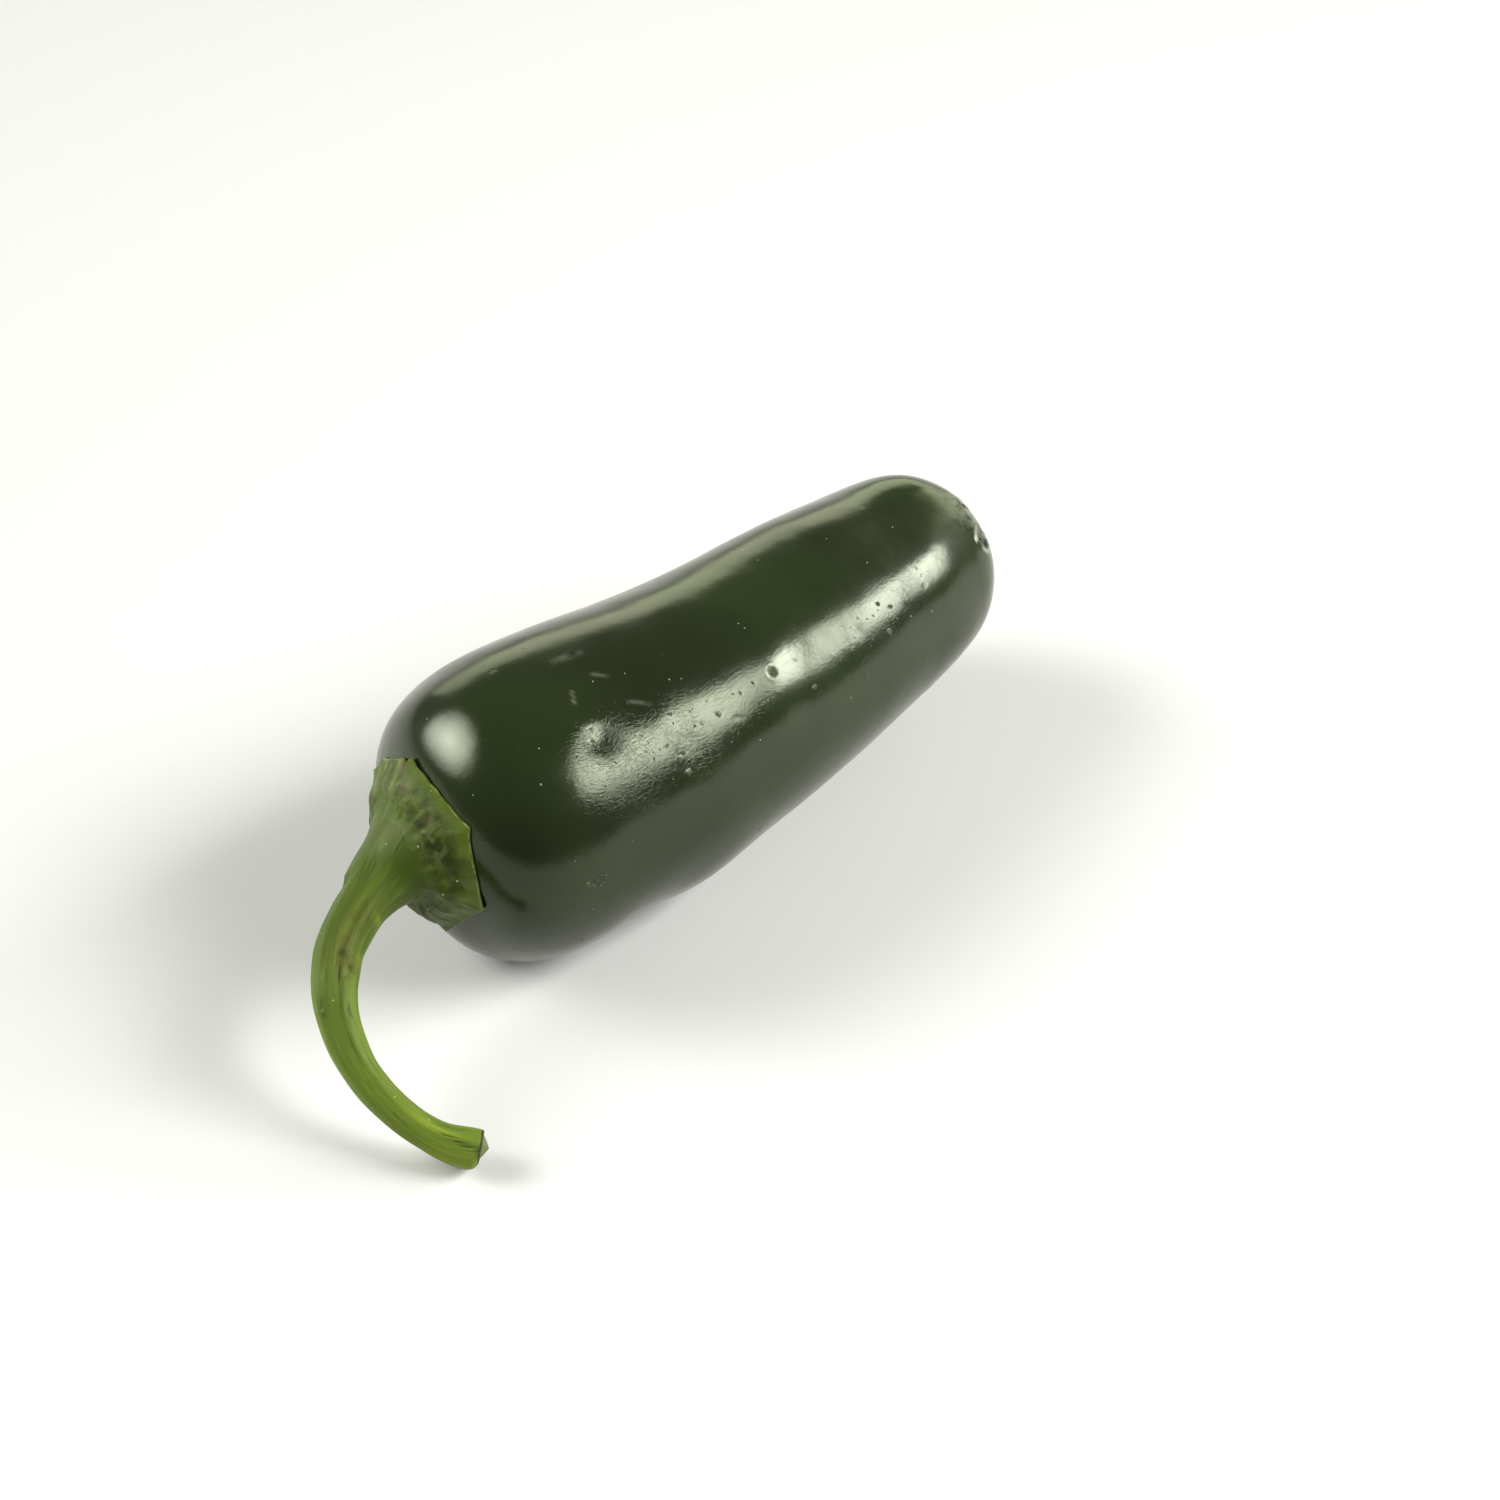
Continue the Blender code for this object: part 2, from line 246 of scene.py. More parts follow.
@dataclass(frozen=True)
class Crack:
    """Short shallow slit in the skin between two places, or a smear of wax over it.

    Attributes:
        start: station in mm and azimuth in degrees of one end.
        end: station in mm and azimuth in degrees of the other end.
        width: half width, in mm.
        depth: depth of a slit in mm, or how much a smear covers, from 0 to 1.
    """

    start: tuple[float, float]
    end: tuple[float, float]
    width: float
    depth: float


SWELLS = (
    Swell(7.5, 52.0, 6.0, 8.0, -0.50),
    Swell(35.0, 58.0, 11.0, 9.0, -0.75),
    Swell(57.0, 72.0, 8.0, 8.0, 0.35),
    Swell(71.0, 88.0, 7.0, 6.5, 0.90),
    Swell(73.4, 150.0, 3.6, 4.2, 0.30),
    Swell(73.4, 112.0, 2.4, 2.6, 0.22),
    Swell(73.0, 125.0, 2.0, 2.0, 0.20),
    Swell(65.7, 134.0, 4.7, 5.0, 0.27),
    Swell(77.5, 335.0, 8.0, 9.0, -2.90),
    Swell(15.5, 125.0, 1.7, 1.7, -0.42),
    Swell(12.8, 118.0, 2.2, 2.6, 0.14),
    Swell(24.0, 137.0, 1.7, 4.2, -0.18),
    Swell(21.6, 114.0, 3.0, 3.0, -0.38),
    Swell(34.0, 133.0, 5.5, 6.0, 0.22),
    Swell(40.1, 134.0, 2.2, 5.0, -0.11),
    Swell(55.0, 136.0, 6.0, 6.0, 0.20),
    Swell(66.0, 188.0, 7.0, 6.0, 0.40),
    Swell(18.5, 224.0, 4.5, 6.0, -0.45),
    Swell(27.0, 214.0, 6.0, 6.0, 0.50),
    Swell(24.0, 358.0, 9.0, 7.0, 0.40),
    Swell(42.0, 20.0, 12.0, 7.0, -0.50),
    Swell(60.0, 330.0, 9.0, 6.0, -0.35),
)

PITS = (
    Pit(15.0, 124.0, 0.26, 0.05, 0.6),
    Pit(15.4, 120.3, 0.24, 0.05, 0.6),
    Pit(18.4, 141.3, 0.24, 0.04, 0.3),
    Pit(21.9, 137.7, 0.24, 0.05, 0.4),
    Pit(23.2, 142.5, 0.32, 0.06, 0.5),
    Pit(22.5, 144.3, 0.30, -0.04, 0.7),
    Pit(23.0, 150.1, 0.26, -0.04, 0.7),
    Pit(28.7, 136.4, 0.34, 0.03, 0.5),
    Pit(32.1, 134.3, 0.22, 0.04, 0.5),
    Pit(34.1, 133.2, 0.18, 0.03, 0.4),
    Pit(37.0, 133.6, 0.50, 0.14, 1.0),
    Pit(37.1, 133.4, 0.20, -0.08, 0.6),
    Pit(49.2, 138.8, 0.80, 0.03, 0.1),
    Pit(53.4, 133.7, 0.24, 0.04, 0.6),
    Pit(54.8, 138.0, 0.24, 0.04, 0.6),
    Pit(53.2, 147.5, 0.32, 0.03, 0.7),
    Pit(9.6, 171.6, 0.36, 0.10, 0.9),
    Pit(10.4, 173.6, 0.42, 0.10, 1.0),
    Pit(11.0, 171.0, 0.32, 0.09, 0.9),
    Pit(10.2, 171.8, 0.26, -0.08, 0.7),
    Pit(30.0, 20.0, 0.45, 0.06, 0.8),
    Pit(48.0, 292.0, 0.40, 0.06, 0.7),
    Pit(22.0, 268.0, 0.35, 0.05, 0.7),
    Pit(61.0, 48.0, 0.35, 0.05, 0.6),
)

CRACKS = (
    Crack((14.2, 130.9), (15.0, 135.4), 0.16, 0.06),
    Crack((23.1, 134.0), (23.9, 138.2), 0.16, 0.07),
    Crack((22.6, 134.6), (23.2, 137.2), 0.14, 0.05),
    Crack((28.5, 135.2), (29.2, 137.9), 0.14, 0.03),
    Crack((30.2, 140.8), (31.4, 143.0), 0.14, 0.04),
    Crack((38.7, 134.0), (40.2, 134.1), 0.18, 0.04),
    Crack((47.6, 140.0), (50.4, 137.4), 0.16, 0.012),
    Crack((57.0, 141.3), (58.7, 147.0), 0.12, 0.04),
    Crack((33.6, 200.7), (34.3, 196.3), 0.14, -0.03),
    Crack((61.2, 209.1), (62.4, 209.5), 0.16, -0.04),
    Crack((42.0, 28.0), (45.0, 31.0), 0.16, 0.05),
    Crack((35.0, 300.0), (38.0, 305.0), 0.16, 0.05),
)

GRAINY = (
    Swell(17.0, 133.5, 5.4, 5.0, 1.0),
    Swell(25.0, 140.0, 3.0, 4.5, 0.8),
    Swell(31.0, 136.5, 4.5, 3.2, 0.5),
    Swell(52.0, 139.0, 14.0, 4.0, 0.22),
    Swell(40.0, 350.0, 9.0, 6.0, 0.6),
)

SMEARS = (
    Crack((16.2, 103.5), (15.5, 108.5), 0.16, 0.45),
    Crack((20.9, 116.5), (22.6, 121.0), 0.22, 0.28),
    Crack((19.6, 100.5), (20.7, 103.5), 0.22, 0.28),
    Crack((17.4, 87.0), (20.3, 87.5), 0.55, 0.22),
    Crack((60.0, 196.0), (60.8, 200.0), 0.25, 0.50),
    Crack((33.5, 197.0), (34.3, 200.7), 0.22, 0.60),
    Crack((44.0, 12.0), (48.0, 20.0), 0.50, 0.30),
    Crack((28.0, 330.0), (31.0, 338.0), 0.40, 0.35),
    Crack((52.0, 300.0), (54.0, 310.0), 0.35, 0.35),
)


@dataclass(frozen=True)
class Pod:
    """The fruit: a tapering, gently bent body with a round shoulder, a blunt tip and a blossom scar.

    Lengths are in mm, and azimuths and turns in degrees.
    """

    length: float = 78.2
    radius: float = 16.5
    tip_radius: float = 9.6
    rest_station: float = 28.0
    pressed_in: float = 0.25
    taper_start: float = 6.0
    taper_power: float = 1.75
    shoulder_length: float = 16.7
    shoulder_power: float = 3.0
    tip_length: float = 8.8
    tip_power: float = 2.34
    sway: tuple[float, float] = (-4.83, 12.02)
    drop: tuple[float, float, float] = (-3.57, 2.25, -2.73)
    lobes: int = 3
    lobe_share: float = 0.012
    lobe_turn: float = 35.0
    flat_ease: float = 0.15
    scar_station: float = 72.6
    scar_azimuth: float = 140.0
    lip_radius: float = 1.45
    lip_width: float = 0.28
    lip_height: float = 0.14
    scar_pit_radius: float = 1.3
    scar_pit_depth: float = 0.38
    hollow_radius: float = 1.1
    scar_uneven: float = 0.3
    scar_noise: LatticeNoise = LatticeNoise(15, 1.2)
    hollow_cork: float = 0.55
    lip_wax: float = 0.9
    rough_wax: float = 0.8
    rough_station: float = 73.4
    rough_azimuth: float = 119.0
    rough_reach: float = 2.4
    crumb_noise: LatticeNoise = LatticeNoise(14, 0.45)
    crumb_height: float = 0.10
    pit_lip_share: float = 0.2
    pit_lip_place: float = 1.5
    pit_lip_width: float = 0.5
    # Noise and height of each layer of faint waves
    waves: tuple[tuple[LatticeNoise, float], ...] = (
        (LatticeNoise(11, 8.5), 0.085),
        (LatticeNoise(12, 4.1), 0.032),
        (LatticeNoise(13, 1.7), 0.010),
    )
    rings: int = 300
    around: int = 328
    ring_crowding: float = 0.12
    side_crowding: float = 0.36
    seen_azimuth: float = 140.0
    normal_step: float = 0.002
    spare_pits: int = 46
    # Least and most of a seeded pit's station, azimuth, radius, depth and cork
    spare_limits: tuple[tuple[float, float], ...] = (
        (9.0, 72.0),
        (0.0, 360.0),
        (0.22, 0.42),
        (-0.02, 0.05),
        (0.0, 0.5),
    )
    seed: int = 7

    def axis(self, station: Array) -> tuple[Array, Array, Array, Array]:
        """Middle line at a station: a square sideways and a cube downwards of the share of the length.

        Args:
            station: distance from the stem end, in mm.

        Returns:
            The point in mm, the direction along, the sideways direction and the rising one.
        """
        part = np.asarray(station) / self.length
        sway = self.sway[0] * part + self.sway[1] * part**2
        drop = self.drop[0] * part + self.drop[1] * part**2 + self.drop[2] * part**3
        middle = np.stack([station - self.rest_station, sway, self.radius - self.pressed_in + drop], -1)
        sway_slope = (self.sway[0] + 2.0 * self.sway[1] * part) / self.length
        drop_slope = self.drop[0] + 2.0 * self.drop[1] * part + 3.0 * self.drop[2] * part**2
        drop_slope = drop_slope / self.length
        along = unit(np.stack([np.ones_like(part), sway_slope, drop_slope], -1))
        side = unit(np.cross(UP, along))
        return middle, along, side, np.cross(along, side)

    def section_radius(self, station: Array) -> Array:
        """Radius at a station: a power taper, times a superellipse's round at the shoulder and at the tip.

        Args:
            station: distance from the stem end, in mm.

        Returns:
            The radius in mm.
        """
        part = np.clip((station - self.taper_start) / (self.length - self.taper_start), 0.0, 1.0)
        body = self.radius + (self.tip_radius - self.radius) * part**self.taper_power
        shoulder = np.clip(1.0 - station / self.shoulder_length, 0.0, 1.0)
        tip = np.clip((station - self.length + self.tip_length) / self.tip_length, 0.0, 1.0)
        shoulder_round = (1.0 - shoulder**self.shoulder_power) ** (1.0 / self.shoulder_power)
        tip_round = (1.0 - tip**self.tip_power) ** (1.0 / self.tip_power)
        return body * shoulder_round * tip_round

    def shoulder_station(self, radius: Array) -> Array:
        """Station at which the shoulder's dome has a radius, the inverse of its round."""
        share = np.clip(radius / self.radius, 0.0, 1.0)
        dome = (1.0 - share**self.shoulder_power) ** (1.0 / self.shoulder_power)
        return self.shoulder_length * (1.0 - dome)

    def angle_of(self, station: float) -> float:
        """Angle, from 0 at the stem end to pi at the tip, that has a station."""
        return np.arccos(1.0 - 2.0 * station / self.length)

    def point(self, angle: Array, azimuth: Array) -> Array:
        """Point of the plain pod in mm: the middle line plus the radius, with faint lobes, at the azimuth.

        Args:
            angle: 0 at the stem end to pi at the tip.
            azimuth: turn from +Y towards +Z, in radians.

        Returns:
            The points.
        """
        station = self.length * (1.0 - np.cos(angle)) / 2.0
        middle, _, side, rise = self.axis(station)
        wave = np.cos(self.lobes * (azimuth - np.radians(self.lobe_turn)))
        radius = self.section_radius(station) * (1.0 + self.lobe_share * np.sin(angle) * wave)
        return middle + radius[..., None] * turned(side, rise, azimuth)

    def place(self, station: float, azimuth: float) -> Array:
        """Point of the plain pod at a station in mm and an azimuth in degrees."""
        return self.point(np.array(self.angle_of(station)), np.array(np.radians(azimuth)))

    def normal(self, angle: Array, azimuth: Array) -> Array:
        """Outward direction: the cross product of small steps around and along the plain pod.

        Args:
            angle: 0 at the stem end to pi at the tip.
            azimuth: turn from +Y towards +Z, in radians.

        Returns:
            The directions, of length 1.
        """
        step = self.normal_step
        near = np.clip(angle, 2.0 * step, np.pi - 2.0 * step)
        lengthwise = self.point(near + step, azimuth) - self.point(near - step, azimuth)
        around = self.point(near, azimuth + step) - self.point(near, azimuth - step)
        return unit(np.cross(around, lengthwise))

    def form(self, points: Array) -> Array:
        """Height of the broad form: a bell for each swell, and the scar's raised ring and pit.

        Args:
            points: points of the plain pod, in mm.

        Returns:
            The heights in mm.
        """
        height = np.zeros(points.shape[:-1])
        for swell in SWELLS:
            height += swell.height * self.swelled(points, swell)
        distance = self.from_scar(points)
        height += self.lip_height * bell((distance - self.lip_radius) / self.lip_width)
        return height - self.scar_pit_depth * (1.0 - smoothstep(distance / self.scar_pit_radius))

    def from_scar(self, points: Array) -> Array:
        """Distance from the blossom scar in mm, with its rings made uneven by lattice noise."""
        away = np.linalg.norm(points - self.place(self.scar_station, self.scar_azimuth), axis=-1)
        uneven = self.scar_uneven * self.scar_noise.at(points)
        return np.abs(away + uneven * smoothstep(away))

    def swelled(self, points: Array, swell: Swell) -> Array:
        """Bell over the distance from a swell, in its reaches along and across the pod."""
        away = points - self.place(swell.station, swell.azimuth)
        across = np.linalg.norm(away[..., 1:], axis=-1) / swell.across
        return bell(np.hypot(away[..., 0] / swell.along, across))

    def all_pits(self) -> tuple[Pit, ...]:
        """All pits: those placed one by one, and seeded ones spread evenly over the skin.

        Returns:
            The pits.
        """
        draw = np.random.default_rng(self.seed)
        spare = [
            Pit(station, azimuth, radius, depth, cork)
            for station, azimuth, radius, depth, cork in zip(
                *(draw.uniform(*limits, self.spare_pits) for limits in self.spare_limits)
            )
        ]
        return PITS + tuple(spare)

    def from_slit(self, points: Array, slit: Crack) -> Array:
        """Bell over the distance from the straight line between a slit's ends.

        Args:
            points: points of the plain pod, in mm.
            slit: the slit, or the smear.

        Returns:
            The bell's value at each point.
        """
        start = self.place(*slit.start)
        run = self.place(*slit.end) - start
        part = np.clip((points - start) @ run / (run @ run), 0.0, 1.0)
        return bell(np.linalg.norm(points - start - part[..., None] * run, axis=-1) / slit.width)

    def skin(self, points: Array) -> tuple[Array, Array]:
        """Height in mm, and corkiness, wax and grain of the fine skin.

        The height is lattice noise of three sizes, a bell and a ring for each pit, a trough along each
        crack, and crumbs round the scar. The corkiness is the pits' bells and the scar's hollow. The wax is
        a bell across each smear, the scar's lip and the rough place by it, and the grain a bell over each
        grainy place.

        Args:
            points: points of the plain pod, in mm.

        Returns:
            The heights, and the corkiness, the wax and the grain, from 0 to 1, on a last axis.
        """
        height = np.zeros(points.shape[:-1])
        for noise, rise in self.waves:
            height += rise * noise.at(points)
        cork = np.zeros(height.shape)
        for pit in self.all_pits():
            away = np.linalg.norm(points - self.place(pit.station, pit.azimuth), axis=-1) / pit.radius
            floor = bell(away)
            lip = self.pit_lip_share * bell((away - self.pit_lip_place) / self.pit_lip_width)
            height -= pit.depth * (floor - lip)
            cork = np.maximum(cork, pit.cork * floor)
        for crack in CRACKS:
            height -= crack.depth * self.from_slit(points, crack)
        wax = np.zeros(height.shape)
        for smear in SMEARS:
            wax = np.maximum(wax, smear.depth * self.from_slit(points, smear))
        crumbs = self.crumb_noise.at(points)
        distance = self.from_scar(points)
        ring = bell((distance - self.lip_radius) / self.lip_width)
        inside = 1.0 - smoothstep(distance / self.hollow_radius)
        place = self.place(self.rough_station, self.rough_azimuth)
        rough = bell(np.linalg.norm(points - place, axis=-1) / self.rough_reach)
        height += self.crumb_height * crumbs * np.maximum(rough, inside)
        pale = np.maximum(self.lip_wax * ring, self.rough_wax * rough)
        wax = np.maximum(wax, pale * (1.0 - inside))
        grain = np.zeros(height.shape)
        for patch in GRAINY:
            grain = np.maximum(grain, patch.height * self.swelled(points, patch))
        return height, np.stack([np.maximum(cork, self.hollow_cork * inside), wax, grain], -1)

    def flatten(self, points: Array) -> Array:
        """Ease the lowest stretch into the floor: flat below minus the ease, a parabola up to plus the ease.

        Args:
            points: points of the surface, in mm, which are changed.

        Returns:
            The same points.
        """
        height = points[..., 2]
        curved = (height + self.flat_ease) ** 2 / (4.0 * self.flat_ease)
        flat = np.where(height < -self.flat_ease, 0.0, curved)
        points[..., 2] = np.where(height < self.flat_ease, flat, height)
        return points

    def slide_to_scar(self, angle: Array, azimuth: Array) -> tuple[Array, Array]:
        """Slide the grid's tip pole onto the scar.

        A point's polar distance becomes a plane vector, which shifts towards the scar by the square of the
        rest.

        Args:
            angle: 0 at the stem end to pi at the tip.
            azimuth: turn from +Y towards +Z, in radians.

        Returns:
            The moved angle and azimuth.
        """
        reach = np.sin(angle)
        tip_half = angle > np.pi / 2.0
        slide = np.where(tip_half, np.sin(self.angle_of(self.scar_station)) * (1.0 - reach) ** 2, 0.0)
        scar_turn = np.radians(self.scar_azimuth)
        flat_x = reach * np.cos(azimuth) + slide * np.cos(scar_turn)
        flat_y = reach * np.sin(azimuth) + slide * np.sin(scar_turn)
        moved = np.pi - np.arcsin(np.clip(np.hypot(flat_x, flat_y), 0.0, 1.0))
        return np.where(tip_half, moved, angle), np.where(tip_half, np.arctan2(flat_y, flat_x), azimuth)

    def surface(self, angle: Array, azimuth: Array) -> tuple[Array, Array]:
        """Finished surface: the plain pod, moved out along its normal by form and skin, then flattened.

        Args:
            angle: 0 at the stem end to pi at the tip, before the slide to the scar.
            azimuth: turn from +Y towards +Z, in radians.

        Returns:
            The points in metres, and their corkiness, wax and grain.
        """
        angle, azimuth = self.slide_to_scar(angle, azimuth)
        points = self.point(angle, azimuth)
        fine, looks = self.skin(points)
        points = points + self.normal(angle, azimuth) * (self.form(points) + fine)[..., None]
        return self.flatten(points) * MM, looks

    def build(self) -> bpy.types.Mesh:
        """Mesh of the pod, with rings crowded towards its middle and points towards its seen side.

        Returns:
            The mesh, with its corkiness, wax and grain stored as looks.
        """
        part = np.arange(1, self.rings) / self.rings
        angle = np.pi * part + self.ring_crowding * np.sin(2.0 * np.pi * part)
        turn = 2.0 * np.pi * np.arange(self.around) / self.around
        azimuth = turn - self.side_crowding * np.sin(turn - np.radians(self.seen_azimuth))
        grid_angle, grid_azimuth = np.meshgrid(angle, azimuth, indexing="ij")
        rings, looks = self.surface(grid_angle, grid_azimuth)
        poles, pole_looks = self.surface(np.array([0.0, np.pi]), np.zeros(2))
        mesh = closed_mesh("pod", rings, poles[0], poles[1])
        store(mesh, "looks", with_poles(looks, pole_looks))
        return mesh


# Azimuth on the calyx of the stalk's turn 0, in radians
STALK_AZIMUTH = np.radians(120.7)
# How much slower the fibres' streaks change along the stalk than round it, for each mm
FIBRE_STRETCH = 0.035


def along_fibres(turn: Array, arc: Array) -> Array:
    """Place in the fibres, quick round the stalk and slow along it, for streaks."""
    return np.stack([np.cos(turn), np.sin(turn), FIBRE_STRETCH * arc], -1)


@dataclass(frozen=True)
class Foot:
    """Where the stalk grows out of the calyx, a shape that both pieces share.

    Lengths are in mm and turns in degrees. Heights are measured from the pod's end outwards along its middle
    line, and azimuths turn from +Y towards +Z.
    """

    aside: float = 0.6
    face: float = 1.5
    start: float = 1.8
    shaft: float = 2.45
    flare: float = 2.7
    reach: float = 4.2
    power: float = 1.3
    lean_azimuth: float = 46.0
    lean_width: float = 62.0
    lean_share: float = 0.50
    fillet: float = 3.4
    crisp_azimuth: float = 232.0
    crisp_width: float = 48.0
    crisp_share: float = 0.85
    meeting: float = 2.9
    sunk_share: float = 0.45
    top: float = 3.7
    halvings: int = 24

    def spread(self, height: Array, azimuth: Array) -> Array:
        """How far the wall stands out from the shaft.

        A flare exp(-(a/reach)^power) of the height a above the start, less a bell on its slim side, and a
        fillet, the parabola k (1 - sqrt(h/k))^2 of the height h above the calyx's face, small where a crease
        shows.

        Args:
            height: height, in mm.
            azimuth: azimuth, in radians.

        Returns:
            The distance in mm.
        """
        above = np.maximum(height - self.start, 0.0)
        lean = turn_bell(azimuth, self.lean_azimuth, self.lean_width)
        flare = self.flare * np.exp(-((above / self.reach) ** self.power)) * (1.0 - self.lean_share * lean)
        crisp = turn_bell(azimuth, self.crisp_azimuth, self.crisp_width)
        size = self.fillet * (1.0 - self.crisp_share * crisp)
        climbed = np.clip((height - self.face) / size, 0.0, 1.0)
        return flare + size * (1.0 - np.sqrt(climbed)) ** 2

    def stalk_spread(self, height: Array, azimuth: Array) -> Array:
        """The stalk's part of the spread: below the meeting it falls behind by a share, under the calyx."""
        limit = self.spread(np.array(self.meeting), azimuth)
        beyond = np.maximum(self.spread(height, azimuth) - limit, 0.0)
        return self.spread(height, azimuth) - self.sunk_share * beyond

    def calyx_height(self, distance: Array, azimuth: Array) -> Array:
        """Height of the calyx at a distance from the foot's middle.

        The wall is found by halving the range of heights in which it lies. Above the meeting the calyx falls
        behind it by a share, inside the stalk.

        Args:
            distance: distance from the foot's middle, in mm.
            azimuth: azimuth, in radians.

        Returns:
            The height in mm.
        """
        low = np.full(distance.shape, self.face)
        high = np.full(distance.shape, self.top)
        for _ in range(self.halvings):
            middle = (low + high) / 2.0
            under = self.shaft + self.spread(middle, azimuth) > distance
            low = np.where(under, middle, low)
            high = np.where(under, high, middle)
        return low - self.sunk_share * np.maximum(low - self.meeting, 0.0)


@dataclass(frozen=True)
class Corner:
    """Corner of the calyx, and the edge that follows it.

    Attributes:
        azimuth: turn from +Y towards +Z, in degrees.
        reach: distance from the calyx's middle, in mm.
        bulge: how far the edge after it bows out, in mm.
        lift: how far it stands off the pod more than the rim does, in mm.
    """

    azimuth: float
    reach: float
    bulge: float
    lift: float


CORNERS = (
    Corner(16.0, 10.5, 0.0, 0.08),
    Corner(35.0, 10.1, 0.10, 0.06),
    Corner(74.5, 10.15, 0.40, 0.16),
    Corner(133.0, 10.55, 0.30, 0.08),
    Corner(185.0, 10.15, 0.10, 0.30),
    Corner(246.0, 9.25, 0.30, 0.10),
    Corner(312.0, 10.4, 0.30, 0.15),
)


@dataclass(frozen=True)
class Fan:
    """Part of the calyx that takes a tint, a bell round its middle that eases in on the way to the rim.

    Attributes:
        azimuth: turn of its middle from +Y towards +Z, in degrees.
        width: its reach on either side, in degrees.
        start: share of the way to the rim at which it begins.
        end: share at which it is full.
    """

    azimuth: float
    width: float
    start: float
    end: float

    def at(self, share: Array, azimuth: Array) -> Array:
        """How strong it is, from 0 to 1."""
        return turn_bell(azimuth, self.azimuth, self.width) * eased(share, self.start, self.end)


@dataclass(frozen=True)
class Wrinkles:
    """Layer of lattice noise on the calyx.

    Attributes:
        noise: the noise, over shares of the way to the rim.
        height: its height, in mm.
        outward: whether it is drawn out towards the rim.
    """

    noise: LatticeNoise
    height: float
    outward: bool = False


@dataclass(frozen=True)
class Calyx:
    """The leathery cap on the shoulder, with seven corners, folds that run to them and a thin rim.

    Lengths are in mm, and azimuths and turns in degrees. Rises, falls and fold widths are in shares of the
    way to the rim.
    """

    pod: Pod
    foot: Foot
    tooth_reach: float = 0.16
    tooth_width: float = 5.0
    ragged: float = 0.07
    ragged_noise: LatticeNoise = LatticeNoise(24, 0.11)
    notch_azimuth: float = 70.0
    notch_width: float = 2.4
    notch_depth: float = 0.35
    thickness: float = 0.8
    rim_thickness: float = 0.24
    gap: float = 0.2
    rim_drop: float = 0.10
    rim_waves: int = 5
    rim_wave_turn: float = 0.7
    rim_wave_height: float = 0.04
    lift_width: float = 9.0
    lift_from: float = 0.7
    landing_radius: float = 6.4
    landing_ease: float = 2.5
    turn_over: float = 0.16
    dent_azimuth: float = 30.0
    dent_turn: float = 32.0
    dent_distance: float = 6.3
    dent_width: float = 1.4
    dent_depth: float = 0.58
    fold_height: float = 0.14
    fold_width: float = 0.10
    fold_rise: tuple[float, float] = (0.45, 0.65)
    fold_fall: tuple[float, float] = (0.8, 1.0)
    fold_fallen: float = 0.6
    wander: float = 0.05
    wander_rate: float = 7.0
    wander_step: float = 2.1
    wrinkles: tuple[Wrinkles, ...] = (
        Wrinkles(LatticeNoise(21, 0.11), 0.08, outward=True),
        Wrinkles(LatticeNoise(22, 0.17), 0.13),
        Wrinkles(LatticeNoise(23, 0.07), 0.05),
    )
    outward_stretch: float = 0.22
    wrinkle_rise: tuple[float, float] = (0.4, 0.6)
    wrinkle_fall: tuple[float, float] = (0.86, 0.98)
    mottled_from: tuple[float, float] = (5.4, 7.0)
    mottled_to: tuple[float, float] = (7.9, 9.4)
    mottled_azimuth: float = 122.0
    mottled_turn: float = 58.0
    mottled_share: float = 0.35
    stripe: Fan = Fan(106.0, 27.0, 0.80, 0.94)
    # Fans on the upper and lower sides where the pale streaks are made stronger: a painted sheen
    painted_sheen_fans: tuple[Fan, Fan] = (Fan(48.0, 26.0, 0.45, 0.65), Fan(212.0, 30.0, 0.55, 0.75))
    # Distances from the foot's middle at which its green begins to fade and ends, usual and least
    green_from: tuple[float, float] = (5.0, 3.8)
    green_to: tuple[float, float] = (7.6, 4.8)
    green_turn: float = 60.0
    rust_rise: tuple[float, float] = (0.86, 0.94)
    around: int = 420
    outer_rings: int = 130
    inner_rings: int = 30

    def outline(self, azimuth: Array) -> Array:
        """Distance from the middle to the edge.

        Straight edges between the corners, plus a half sine for each edge's bulge, a bell tooth at each
        corner and ragged noise, less a bell for the notch.

        Args:
            azimuth: turn from +Y towards +Z, in radians.

        Returns:
            The distance in mm.
        """
        turns = np.radians([corner.azimuth for corner in CORNERS])
        reaches = np.array([corner.reach for corner in CORNERS])
        bulges = np.array([corner.bulge for corner in CORNERS])
        azimuth = np.mod(azimuth, 2.0 * np.pi)
        after = np.searchsorted(turns, azimuth) % len(turns)
        place = np.stack([np.cos(turns), np.sin(turns)], -1) * reaches[:, None]
        start = place[after - 1]
        edge = place[after] - start
        crossed = start[..., 0] * edge[..., 1] - start[..., 1] * edge[..., 0]
        distance = crossed / (np.cos(azimuth) * edge[..., 1] - np.sin(azimuth) * edge[..., 0])
        span = np.mod(turns[after] - turns[after - 1], 2.0 * np.pi)
        part = np.mod(azimuth - turns[after - 1], 2.0 * np.pi) / span
        distance = distance + bulges[after - 1] * np.sin(np.pi * part)
        for corner in CORNERS:
            distance += self.tooth_reach * turn_bell(azimuth, corner.azimuth, self.tooth_width)
        circle = np.stack([np.cos(azimuth), np.sin(azimuth), np.zeros_like(azimuth)], -1)
        distance += self.ragged * self.ragged_noise.at(circle)
        return distance - self.notch_depth * turn_bell(azimuth, self.notch_azimuth, self.notch_width)

    def foot_distance(self, radius: Array, azimuth: Array) -> Array:
        """Distance from the middle of the stalk's foot."""
        return np.hypot(radius * np.cos(azimuth) - self.foot.aside, radius * np.sin(azimuth))

